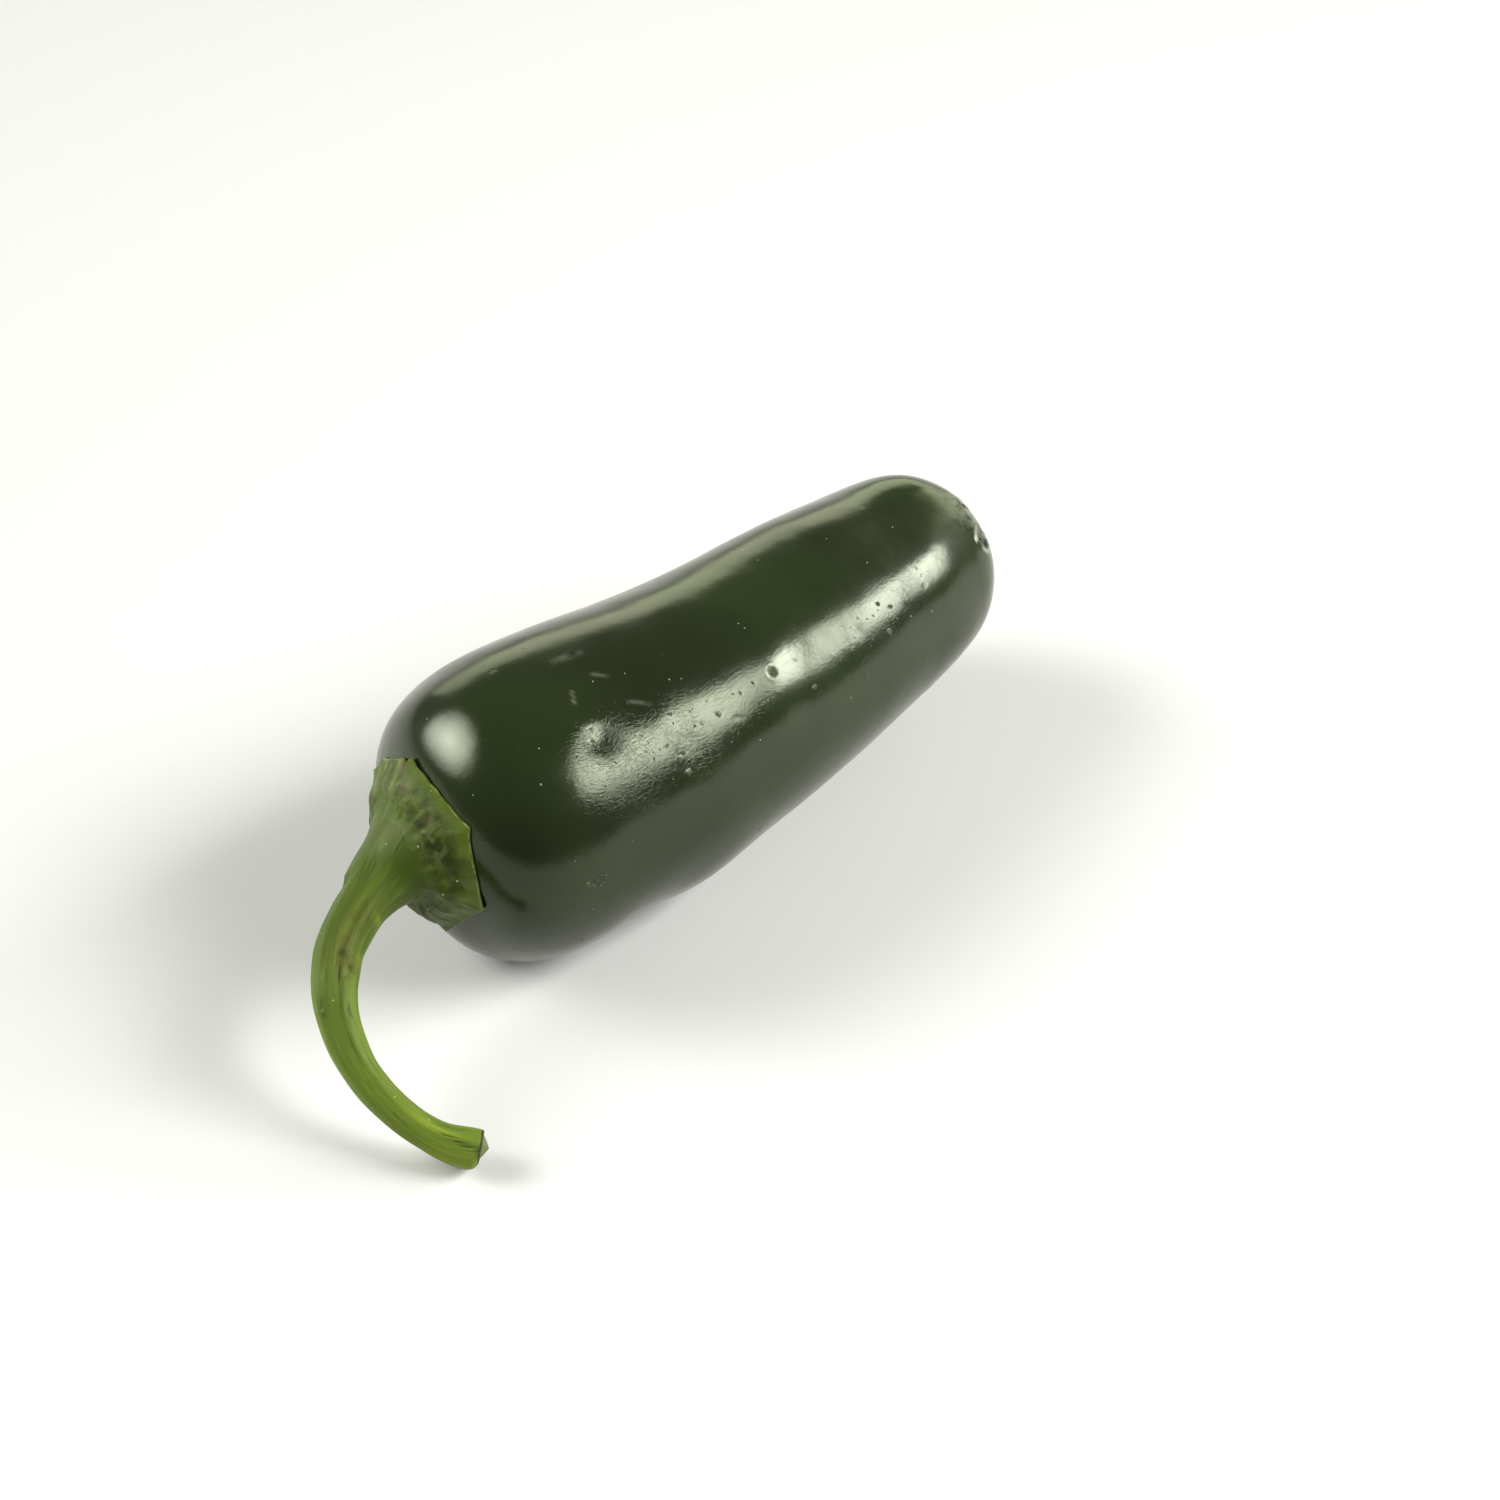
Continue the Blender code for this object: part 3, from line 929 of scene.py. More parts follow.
    def folds(self, share: Array, azimuth: Array) -> Array:
        """Height of the folds and wrinkles: a ridge to each corner, ripples that run outwards, and crumples.

        Args:
            share: share of the way from the middle to the rim.
            azimuth: turn from +Y towards +Z, in radians.

        Returns:
            The height in mm.
        """
        height = np.zeros(share.shape)
        reach = eased(share, *self.fold_rise) * (1.0 - self.fold_fallen * eased(share, *self.fold_fall))
        for index, corner in enumerate(CORNERS):
            wander = self.wander * np.sin(self.wander_rate * share + self.wander_step * index)
            aside = turn_between(azimuth, np.radians(corner.azimuth) + wander) * share / self.fold_width
            height += self.fold_height * bell(aside) * reach
        flat = np.stack([share * np.cos(azimuth), share * np.sin(azimuth), share], -1)
        outward = np.stack([np.cos(azimuth), np.sin(azimuth), self.outward_stretch * share], -1)
        clear = eased(share, *self.wrinkle_rise) * (1.0 - eased(share, *self.wrinkle_fall))
        for layer in self.wrinkles:
            height += layer.height * layer.noise.at(outward if layer.outward else flat) * clear
        return height

    def surface(self, angle: Array, azimuth: Array) -> Array:
        """Point of the cap, over the shoulder's dome at the height of its outer face or its underside.

        The outer face is the lift plus the thickness, eased into the foot's own shape near the stalk, plus
        the folds, less a bell for the dent beside the stalk.

        Args:
            angle: 0 at the middle of the outer face, over the rim, to pi underneath.
            azimuth: turn from +Y towards +Z, in radians.

        Returns:
            The points in metres.
        """
        share = np.sin(angle)
        radius = share * self.outline(azimuth)
        station = self.pod.shoulder_station(radius)
        middle, along, side, rise = self.pod.axis(station)
        rim = eased(share, self.lift_from, 1.0)
        raised = self.rim_wave_height * np.sin(self.rim_waves * azimuth + self.rim_wave_turn) - self.rim_drop
        for corner in CORNERS:
            raised = raised + corner.lift * turn_bell(azimuth, corner.azimuth, self.lift_width)
        lift = self.gap + raised * rim
        distance = self.foot_distance(radius, azimuth)
        landing = 1.0 - eased(distance, self.landing_radius, self.landing_radius + self.landing_ease)
        body = self.thickness + (self.rim_thickness - self.thickness) * rim
        landed = self.foot.calyx_height(distance, azimuth) + station
        outer = (lift + body) * (1.0 - landing) + landed * landing + self.folds(share, azimuth)
        dent = turn_bell(azimuth, self.dent_azimuth, self.dent_turn)
        outer = outer - self.dent_depth * dent * bell((distance - self.dent_distance) / self.dent_width)
        turn_over = smoothstep((angle - np.pi / 2.0) / self.turn_over + 0.5)
        height = outer * (1.0 - turn_over) + lift * turn_over
        return (middle + radius[..., None] * turned(side, rise, azimuth) - along * height[..., None]) * MM

    def tints(self, share: Array, distance: Array, azimuth: Array) -> Array:
        """Where the cap takes another tint: a mottled arc, a fresh stripe, and a painted sheen on two fans.

        The arc is a band of distances from the foot, strongest at its middle azimuth. The stripe is a fan by
        the rim, and the painted sheen is two fans, on the cap's upper and lower sides, that make the pale
        streaks stronger there.

        Args:
            share: share of the way from the middle to the rim.
            distance: distance from the stalk's foot, in mm.
            azimuth: turn from +Y towards +Z, in radians.

        Returns:
            The three tints, from 0 to 1, on a last axis.
        """
        band = eased(distance, *self.mottled_from) * (1.0 - eased(distance, *self.mottled_to))
        near = turn_bell(azimuth, self.mottled_azimuth, self.mottled_turn)
        mottled = band * (self.mottled_share + (1.0 - self.mottled_share) * near)
        painted_sheen_fans = np.maximum(*(fan.at(share, azimuth) for fan in self.painted_sheen_fans))
        return np.stack([mottled, self.stripe.at(share, azimuth), painted_sheen_fans], -1)

    def build(self) -> bpy.types.Mesh:
        """Mesh of the cap.

        Returns:
            The mesh, with share (0 at the middle to 1 at the rim), near (1 where it is as green as the
            stalk's foot), rust (1 at the notch), tints, and grain, the stalk's streaks run on over the cap.
        """
        outer = np.pi / 2.0 * np.arange(1, self.outer_rings + 1) / self.outer_rings
        inner = np.pi / 2.0 * (1.0 + np.arange(1, self.inner_rings) / self.inner_rings)
        angle = np.concatenate([outer, inner])
        azimuth = 2.0 * np.pi * np.arange(self.around) / self.around
        grid_angle, grid_azimuth = np.meshgrid(angle, azimuth, indexing="ij")
        rings = self.surface(grid_angle, grid_azimuth)
        poles = self.surface(np.array([0.0, np.pi]), np.zeros(2))
        mesh = closed_mesh("calyx", rings, poles[0], poles[1])
        share = np.sin(grid_angle)
        distance = self.foot_distance(share * self.outline(grid_azimuth), grid_azimuth)
        crisp = turn_bell(grid_azimuth, self.foot.crisp_azimuth, self.green_turn)
        start, end = (usual + (least - usual) * crisp for usual, least in (self.green_from, self.green_to))
        rust = turn_bell(grid_azimuth, self.notch_azimuth, 2.0 * self.notch_width)
        looks = {
            "share": share,
            "near": 1.0 - eased(distance, start, end),
            "rust": rust * eased(share, *self.rust_rise),
            "tints": self.tints(share, distance, grid_azimuth),
            "grain": along_fibres(STALK_AZIMUTH - grid_azimuth, self.foot.shaft - distance),
        }
        for name, values in looks.items():
            store(mesh, name, with_poles(values, np.zeros((2, *values.shape[2:]))))
        return mesh


class Tint(Enum):
    """Tint that a blemish gives the stalk, as its place in the stored tints."""

    BROWN = 0
    YELLOW = 1
    DARK = 2


@dataclass(frozen=True)
class Blemish:
    """Place on the stalk with a tint, a dent or crumbs, fading as a bell along and across it.

    Attributes:
        arc: distance from the calyx, in mm.
        turn: turn about the stalk, in degrees.
        along: reach along the stalk, in mm.
        across: reach round the stalk, in mm.
        tint: kind of tint.
        strength: how strong the tint is, from 0 to 1.
        height: height, negative for a dent, in mm.
        crumbs: height of the crumbs on it, in mm.
    """

    arc: float
    turn: float
    along: float
    across: float
    tint: Tint
    strength: float
    height: float = 0.0
    crumbs: float = 0.0


BLEMISHES = (
    Blemish(0.5, 62.0, 1.6, 1.4, Tint.BROWN, 0.30),
    Blemish(12.2, 4.0, 4.0, 1.1, Tint.BROWN, 0.60),
    Blemish(15.2, -22.0, 1.5, 1.2, Tint.BROWN, 0.75, -0.05, 0.16),
    Blemish(14.3, 2.0, 0.5, 0.4, Tint.DARK, 0.80, -0.12),
    Blemish(15.6, -30.0, 0.35, 0.5, Tint.DARK, 0.90, -0.12),
    Blemish(16.6, 2.0, 1.7, 0.17, Tint.DARK, 0.90, -0.22),
    Blemish(20.3, -18.0, 0.7, 0.30, Tint.DARK, 0.90, -0.12),
    Blemish(8.5, -52.0, 0.6, 0.7, Tint.YELLOW, 0.40, 0.18),
    Blemish(14.2, -52.0, 0.8, 0.8, Tint.YELLOW, 0.30, 0.14),
    Blemish(19.8, 54.0, 1.2, 0.5, Tint.DARK, 0.35, -0.04, 0.08),
    Blemish(34.8, -2.0, 3.4, 0.6, Tint.YELLOW, 0.55),
    Blemish(38.4, 80.0, 2.6, 1.2, Tint.YELLOW, 0.55),
    Blemish(37.4, -30.0, 2.4, 0.5, Tint.DARK, 0.40),
    Blemish(37.3, 4.5, 0.9, 0.12, Tint.DARK, 0.80, -0.10),
    Blemish(38.4, 14.0, 0.9, 0.12, Tint.DARK, 0.80, -0.10),
    Blemish(39.2, 24.0, 0.7, 0.12, Tint.DARK, 0.70, -0.10),
    Blemish(40.5, 36.0, 0.42, 0.85, Tint.DARK, 0.95),
    Blemish(12.0, 180.0, 3.0, 1.2, Tint.BROWN, 0.60, 0.0, 0.06),
    Blemish(24.0, 200.0, 1.0, 0.3, Tint.DARK, 0.70, -0.10),
    Blemish(30.0, 150.0, 3.0, 0.8, Tint.YELLOW, 0.60),
)


@dataclass(frozen=True)
class Weathering:
    """Layer of lattice noise on the stalk.

    Attributes:
        noise: the noise.
        share: share by which it lifts the section.
        stretch: how the round of the section and the distance along are scaled for it.
    """

    noise: LatticeNoise
    share: float
    stretch: tuple[float, float, float]


@dataclass(frozen=True)
class Stalk:
    """The hooked stalk: a flared foot, long ridges, a taper, and a swollen end that was cut off.

    Lengths are in mm and turns about the stalk in degrees.
    """

    pod: Pod
    foot: Foot
    route: tuple[tuple[float, float, float], ...] = (
        (-5.2, 0.2, 15.6),
        (-9.6, -2.0, 14.6),
        (-14.0, -5.0, 13.1),
        (-17.1, -9.2, 11.1),
        (-18.2, -14.1, 8.1),
        (-17.4, -18.9, 5.3),
        (-15.3, -23.1, 3.3),
        (-12.0, -26.2, 2.45),
    )
    lead: float = 0.8
    sunk: float = 1.0
    slim: float = 1.75
    slim_from: float = 10.0
    slim_to: float = 32.0
    cut_swell: float = 0.42
    low_turn: float = 105.0
    low_share: float = 0.75
    swell_length: float = 6.0
    cut_back: float = 0.45
    edge_length: float = 1.5
    # On either side of the section, and how much more on its low side
    edge_inset: tuple[float, float] = (0.33, 0.15)
    edge_power: tuple[float, float] = (3.3, -1.3)
    # Angle in radians, length in mm and starting angle of each sway of the ribs
    sways: tuple[tuple[float, float, float], ...] = ((0.35, 9.0, 0.0), (0.2, 4.3, 1.0))
    # Count, share, starting angle and direction of sway of each set of ribs
    ribs: tuple[tuple[int, float, float, float], ...] = ((5, 0.030, 0.0, 1.0), (3, 0.024, 1.1, -1.0))
    # Turn, width and share
    ridge: tuple[float, float, float] = (53.0, 17.0, 0.055)
    hollow: tuple[float, float, float] = (18.0, 16.0, -0.040)
    weathering: tuple[Weathering, ...] = (
        Weathering(LatticeNoise(31, 0.42), 0.036, (1.0, 1.0, 0.05)),
        Weathering(LatticeNoise(32, 0.19), 0.016, (1.0, 1.0, 0.04)),
        Weathering(LatticeNoise(33, 2.6), 0.026, (2.2, 2.2, 1.0)),
    )
    foot_ridges: float = 0.15
    ridges_rise: tuple[float, float] = (0.5, 5.0)
    pith_step: float = 0.15
    pith_round: float = 0.85
    pith_rise: tuple[float, float] = (0.12, 0.20)
    ring_fall: tuple[float, float] = (0.16, 0.30)
    pith_share: float = 0.90
    pith_bulge: float = 0.80
    pith_sunk: float = 0.05
    # Direction from which turns about the stalk are counted
    hook_plane: tuple[float, float, float] = (0.0, -0.51, 0.86)
    crumb_noise: LatticeNoise = LatticeNoise(34, 0.45)
    around: int = 160
    shaft_rings: int = 420
    edge_rings: int = 16
    pith_rings: int = 14
    steps: int = 60

    def line(self) -> Array:
        """Middle line: a Catmull-Rom cubic through the route, from a foot square to the calyx.

        Returns:
            Its points in mm.
        """
        middle, along, side, _ = self.pod.axis(np.array(0.0))
        foot = middle + side * self.foot.aside - along * self.foot.start
        shift = np.array([-self.pod.rest_station, 0.0, 0.0])
        knots = np.vstack([foot - along * self.lead, np.array(self.route) + shift])
        ends = np.vstack([foot, knots, 2.0 * knots[-1] - knots[-2]])
        part = np.linspace(0.0, 1.0, self.steps, endpoint=False)[:, None]
        spans = [foot[None] + along * self.sunk, foot[None]]
        for first, start, end, last in zip(ends, ends[1:], ends[2:], ends[3:]):
            slope_in, slope_out = (end - first) / 2.0, (last - start) / 2.0
            cubic = 2.0 * start - 2.0 * end + slope_in + slope_out
            square = -3.0 * start + 3.0 * end - 2.0 * slope_in - slope_out
            spans.append(((cubic * part + square) * part + slope_in) * part + start)
        return np.vstack([*spans, knots[-1:]])

    def shaft_radius(self, arc: Array, turn: Array, end: float) -> Array:
        """Half thickness: an eased taper, an end swollen most on its low side, and a round in to the cut.

        The round is 1 - inset (1 - (1 - s^p)^(1/p)) of the share s of the edge's length, with the inset
        largest and the power p smallest on the low side.

        Args:
            arc: distance from the calyx, in mm.
            turn: turn about the stalk, in radians.
            end: arc of the cut.

        Returns:
            The radius in mm.
        """
        slimmer = eased(arc, self.slim_from, self.slim_to)
        taper = self.foot.shaft + (self.slim - self.foot.shaft) * slimmer
        low = np.cos(turn - np.radians(self.low_turn))
        swell = self.cut_swell * (1.0 + self.low_share * low)
        radius = taper + swell * smoothstep((arc - end + self.swell_length) / self.swell_length)
        share = np.clip((arc - end + self.edge_length) / self.edge_length, 0.0, 1.0)
        inset = self.edge_inset[0] + self.edge_inset[1] * low
        power = self.edge_power[0] + self.edge_power[1] * low
        return radius * (1.0 - inset * (1.0 - (1.0 - share**power) ** (1.0 / power)))

    def spread_out(self, shaft: Array) -> Array:
        """The shaft with its foot spread: each point moves off the pod's middle line by its height's spread.

        Args:
            shaft: points of the plain shaft, in mm.

        Returns:
            The points.
        """
        middle, along, side, rise = self.pod.axis(np.array(0.0))
        away = shaft - middle - side * self.foot.aside
        flat = np.stack([away @ side, away @ rise], -1)
        azimuth = np.arctan2(flat[..., 1], flat[..., 0])
        spread = self.foot.stalk_spread(-away @ along, azimuth)
        return shaft + turned(side, rise, azimuth) * spread[..., None]

    def ridges(self, arc: Array, turn: Array) -> Array:
        """Share by which the section stands out.

        Cosines of the turn for the ribs, which sway along the stalk, a bell for the strong ridge and one for
        the hollow beside it, and lattice noise for grooves drawn out lengthwise, fine ones and knobs. All
        fade out into the foot.

        Args:
            arc: distance from the calyx, in mm.
            turn: turn about the stalk, in radians.

        Returns:
            The share.
        """
        sway = sum(angle * np.sin(arc / length + start) for angle, length, start in self.sways)
        lifted = np.zeros(arc.shape)
        for count, share, start, side in self.ribs:
            lifted += share * np.cos(count * turn + start + side * sway)
        for middle, width, share in (self.ridge, self.hollow):
            lifted += share * turn_bell(turn, middle, width)
        circle = np.stack([np.cos(turn), np.sin(turn), arc], -1)
        for layer in self.weathering:
            lifted += layer.share * layer.noise.at(circle * layer.stretch)
        return lifted * (self.foot_ridges + (1.0 - self.foot_ridges) * eased(arc, *self.ridges_rise))

    def blemished(self, arc: Array, turn: Array, points: Array) -> tuple[Array, Array]:
        """Height in mm and tints of the blemishes: a bell for each, with lattice noise for its crumbs.

        Args:
            arc: distance from the calyx, in mm.
            turn: turn about the stalk, in radians.
            points: points of the plain stalk, in mm.

        Returns:
            The height and the tints.
        """
        height = np.zeros(arc.shape)
        tints = np.zeros((*arc.shape, len(Tint)))
        crumbs = self.crumb_noise.at(points)
        for blemish in BLEMISHES:
            aside = turn_between(turn, np.radians(blemish.turn)) * self.foot.shaft / blemish.across
            near = bell(np.hypot((arc - blemish.arc) / blemish.along, aside))
            height += near * (blemish.height + blemish.crumbs * crumbs)
            layer = tints[..., blemish.tint.value]
            np.maximum(layer, near * blemish.strength, out=layer)
        return height, tints

    def pith(self, rim: Array, heading: Array) -> tuple[Array, Array, Array]:
        """Rings of the cut face: a small step down inside the rim, then a low cone of pith.

        Args:
            rim: ring of points at the edge of the cut, in mm.
            heading: direction of the stalk there.

        Returns:
            The rings, the cone's tip and for each ring its share of the way from the rim to the tip.
        """
        share = np.linspace(0.0, 1.0, self.pith_rings + 2)[1:-1]
        step = smoothstep(share / self.pith_step)
        cone = np.clip((share - self.pith_step) / (1.0 - self.pith_step), 0.0, 1.0)
        shrink = (1.0 - (1.0 - self.pith_share) * step) * (1.0 - cone)
        rise = self.pith_bulge * cone**self.pith_round - self.pith_sunk * step
        middle = rim.mean(axis=0)
        rings = middle + (rim - middle) * shrink[:, None, None] + heading * rise[:, None, None]
        return rings, middle + heading * (self.pith_bulge - self.pith_sunk), share

    def build(self) -> bpy.types.Mesh:
        """Mesh of the stalk, from its sunk foot to the pith of its cut end.

        Returns:
            The mesh, with arc (mm from the calyx), pith (1 on the cut face), ring (1 on the dark edge round
            it), tints and grain (a place that is slow along the stalk and quick round it, for streaks).
        """
        line = self.line()
        arcs = np.concatenate([[0.0], np.cumsum(np.linalg.norm(np.diff(line, axis=0), axis=1))]) - self.sunk
        end = arcs[-1] - self.cut_back
        edge = np.sin(np.pi / 2.0 * np.arange(1, self.edge_rings + 1) / self.edge_rings)
        shaft_arc = np.linspace(-self.sunk, end - self.edge_length, self.shaft_rings)
        arc = np.concatenate([shaft_arc, end - self.edge_length * (1.0 - edge)])
        centre = np.stack([np.interp(arc, arcs, line[:, axis]) for axis in range(3)], -1)
        heading = unit(np.gradient(centre, arc, axis=0))
        plane = np.array(self.hook_plane)
        first = unit(plane - (heading @ plane)[:, None] * heading)
        second = np.cross(heading, first)
        turn = 2.0 * np.pi * np.arange(self.around) / self.around
        grid_arc, grid_turn = np.meshgrid(arc, turn, indexing="ij")
        radius = self.shaft_radius(grid_arc, grid_turn, end) * (1.0 + self.ridges(grid_arc, grid_turn))
        out = turned(first[:, None], second[:, None], grid_turn)
        shaft = self.spread_out(centre[:, None] + radius[..., None] * out)
        height, tints = self.blemished(grid_arc, grid_turn, shaft)
        shaft = shaft + height[..., None] * out
        cut, tip, share = self.pith(shaft[-1], heading[-1])
        mesh = closed_mesh("stalk", np.concatenate([shaft, cut]) * MM, centre[0] * MM, tip * MM)
        flat = np.broadcast_to(share[:, None], (len(share), self.around))
        all_arc = np.concatenate([grid_arc, np.full(flat.shape, end)])
        all_turn = np.concatenate([grid_turn, np.broadcast_to(turn, flat.shape)])
        face = eased(flat, *self.pith_rise)
        rim = 1.0 - eased(end - grid_arc, *self.ring_fall)
        tints = np.concatenate([tints, np.zeros((*flat.shape, len(Tint)))])
        looks = {
            "arc": (all_arc, (-self.sunk, end)),
            "pith": (np.concatenate([np.zeros(grid_arc.shape), face]), (0.0, 1.0)),
            "ring": (np.concatenate([rim, 1.0 - face]), (0.0, 0.0)),
            "tints": (tints, np.zeros((2, len(Tint)))),
            "grain": (along_fibres(all_turn, all_arc), np.zeros((2, 3))),
        }
        for name, (values, poles) in looks.items():
            store(mesh, name, with_poles(values, poles))
        return mesh


def linear(colour: str) -> tuple[float, float, float, float]:
    """Linear colour of an sRGB hex value: c/12.92 for a channel c to 0.04045, else ((c + 0.055)/1.055)^2.4.

    Args:
        colour: the colour as "#rrggbb".

    Returns:
        Red, green, blue and an alpha of 1.
    """
    channels = np.array([int(colour[place:place + 2], 16) for place in (1, 3, 5)]) / 255.0
    red, green, blue = np.where(channels <= 0.04045, channels / 12.92, ((channels + 0.055) / 1.055) ** 2.4)
    return float(red), float(green), float(blue), 1.0


def per_metre(size: float) -> float:
    """Texture scale that gives a pattern a size in mm."""
    return 1.0 / (size * MM)


@dataclass(frozen=True)
class NodeKind:
    """Kind of node, as the finishes use it.

    Attributes:
        type: its type.
        inputs: names or numbers of its inputs, in the order in which their values are given.
        output: name or number of the output that is used.
        settings: names and values of its own settings.
    """

    type: str
    inputs: tuple[int | str, ...] = ()
    output: int | str = 0
    settings: tuple[tuple[str, str], ...] = ()


class Step(Enum):
    """Steps of a finish. A ramp eases its value from the 4th input at the 2nd to the 5th at the 3rd."""

    ABSOLUTE = NodeKind("ShaderNodeMath", (0,), settings=(("operation", "ABSOLUTE"),))
    ADD = NodeKind("ShaderNodeMath", (0, 1), settings=(("operation", "ADD"),))
    LESS_THAN = NodeKind("ShaderNodeMath", (0, 1), settings=(("operation", "LESS_THAN"),))
    MAXIMUM = NodeKind("ShaderNodeMath", (0, 1), settings=(("operation", "MAXIMUM"),))
    MULTIPLY = NodeKind("ShaderNodeMath", (0, 1), settings=(("operation", "MULTIPLY"),))
    MULTIPLY_ADD = NodeKind("ShaderNodeMath", (0, 1, 2), settings=(("operation", "MULTIPLY_ADD"),))
    SUBTRACT = NodeKind("ShaderNodeMath", (0, 1), settings=(("operation", "SUBTRACT"),))
    RAMP = NodeKind("ShaderNodeMapRange", (0, 1, 2, 3, 4), settings=(("interpolation_type", "SMOOTHSTEP"),))
    BLEND = NodeKind("ShaderNodeMix", (0, 6, 7), 2, (("data_type", "RGBA"),))
    NOISE = NodeKind("ShaderNodeTexNoise", ("Vector", "Scale", "Detail", "Distortion"), "Fac")
    CELLS = NodeKind("ShaderNodeTexVoronoi", ("Vector", "Scale"), "Distance")
    RED = NodeKind("ShaderNodeSeparateColor", ("Color",), "Red")
    PARTS = NodeKind("ShaderNodeSeparateXYZ", ("Vector",))
    PUSH = NodeKind("ShaderNodeVectorMath", (0, 1, 2), settings=(("operation", "MULTIPLY_ADD"),))
    MAPPING = NodeKind("ShaderNodeMapping", ("Vector", "Scale", "Rotation"))
    PLACE = NodeKind("ShaderNodeTexCoord", (), "Object")
    STORED = NodeKind("ShaderNodeAttribute", (), "Fac")
    STORED_VECTOR = NodeKind("ShaderNodeAttribute", (), "Vector")
    BUMP = NodeKind("ShaderNodeBump", ("Height", "Distance"), "Normal")


@dataclass(frozen=True)
class Nodes:
    """Nodes of one material."""

    tree: bpy.types.NodeTree

    def add(self, step: Step, *values: Socket | float | str | tuple, **settings: str) -> Socket:
        """Add a node with its settings, and set or link its inputs.

        Args:
            step: what it does.
            values: for each of its inputs a value, a colour as sRGB hex, or a socket to link to it.
            settings: more of its own settings.

        Returns:
            Its output.
        """
        kind = step.value
        node = self.tree.nodes.new(kind.type)
        for name, value in (dict(kind.settings) | settings).items():
            setattr(node, name, value)
        for name, value in zip(kind.inputs, values):
            if isinstance(value, Socket):
                self.tree.links.new(value, node.inputs[name])
            else:
                node.inputs[name].default_value = linear(value) if isinstance(value, str) else value
        return node.outputs[kind.output]

    def largest(self, *values: Socket) -> Socket:
        """Largest of several values.

        Args:
            values: the values.

        Returns:
            The largest.
        """
        most = values[0]
        for value in values[1:]:
            most = self.add(Step.MAXIMUM, most, value)
        return most

    def paint(self, colour: Socket | str, *layers: tuple[Socket, Socket | str]) -> Socket:
        """Colours laid over a first one in order, each by its own mask.

        Args:
            colour: the first colour.
            layers: for each further one, its mask from 0 to 1 and its colour.

        Returns:
            The colour that shows.
        """
        for mask, over in layers:
            colour = self.add(Step.BLEND, mask, colour, over)
        return colour

    def relief(self, *layers: tuple[Socket, float]) -> Socket:
        """Height of a relief: the sum of patterns, each times its own height.

        Args:
            layers: for each pattern its value and its height in mm.

        Returns:
            The height in metres.
        """
        height = 0.0
        for pattern, rise in layers:
            height = self.add(Step.MULTIPLY_ADD, pattern, rise * MM, height)
        return height


@dataclass(frozen=True)
class Cloud:
    """Soft cloudy noise, eased between two of its values.

    Attributes:
        size: size of its clouds, in mm.
        detail: number of finer layers.
        low: noise that gives the start.
        high: noise that gives the end.
        start: result at low.
        end: result at high.
        bend: how far the pattern is bent.
    """

    size: float
    detail: float
    low: float
    high: float
    start: float = 0.0
    end: float = 1.0
    bend: float = 0.0

    def mask(self, nodes: Nodes, place: Socket) -> Socket:
        """The eased noise at a place in metres."""
        noise = nodes.add(Step.NOISE, place, per_metre(self.size), self.detail, self.bend)
        return nodes.add(Step.RAMP, noise, self.low, self.high, self.start, self.end)


@dataclass(frozen=True)
class Flecks:
    """Scattered flecks, round or drawn out: cells of space, some of which hold a dot at their middle.

    Attributes:
        spacing: distance between cells, in mm.
        size: radius of a fleck, in mm.
        share: share of the cells that hold one.
        stretch: how much longer than its size a fleck is, on each axis.
        turn: turn of the pattern about each axis, in radians.
        edge: sizes between which a fleck fades out.
    """

    spacing: float
    size: float
    share: float
    stretch: tuple[float, float, float] = (1.0, 1.0, 1.0)
    turn: tuple[float, float, float] = (0.0, 0.0, 0.0)
    edge: tuple[float, float] = (1.4, 0.5)

    def mask(self, nodes: Nodes, place: Socket) -> Socket:
        """Mask of the flecks.

        Args:
            nodes: the material's nodes.
            place: place in metres.

        Returns:
            1 in a fleck and 0 outside.
        """
        scale = [per_metre(self.spacing) / longer for longer in self.stretch]
        moved = nodes.add(Step.MAPPING, place, scale, self.turn)
        distance = nodes.add(Step.CELLS, moved, 1.0)
        outer, inner = (reach * self.size / self.spacing for reach in self.edge)
        dot = nodes.add(Step.RAMP, distance, outer, inner)
        pick = nodes.add(Step.RED, distance.node.outputs["Color"])
        return nodes.add(Step.MULTIPLY, dot, nodes.add(Step.LESS_THAN, pick, self.share))


@dataclass(frozen=True)
class Finish:
    """What the three finishes share.

    Attributes:
        name: name of the material.
        gloss: tint of its gloss.
        ior: its index of refraction.
        specular: level of its gloss, 0.5 for the full one.
        roughness: its roughness where nothing changes it.
    """

    name: str
    gloss: str
    ior: float
    specular: float
    roughness: float

    def start(self) -> tuple[bpy.types.Material, Nodes, Socket]:
        """Start the material.

        Returns:
            The new material, its nodes and the object's coordinates.
        """
        material = bpy.data.materials.new(self.name)
        material.use_nodes = True
        nodes = Nodes(material.node_tree)
        return material, nodes, nodes.add(Step.PLACE)

    def finish(self, nodes: Nodes, colour: Socket, roughness: Socket, height: Socket) -> None:
        """Link the looks to the shader, with the height as a bump, and set its gloss.

        Args:
            nodes: the material's nodes.
            colour: colour of the surface.
            roughness: its roughness.
            height: height of its fine relief, in metres.
        """
        shader = nodes.tree.nodes["Principled BSDF"]
        bump = nodes.add(Step.BUMP, height, 1.0)
        for name, socket in (("Base Color", colour), ("Roughness", roughness), ("Normal", bump)):
            nodes.tree.links.new(socket, shader.inputs[name])
        shader.inputs["IOR"].default_value = self.ior
        shader.inputs["Specular IOR Level"].default_value = self.specular
        shader.inputs["Specular Tint"].default_value = linear(self.gloss)


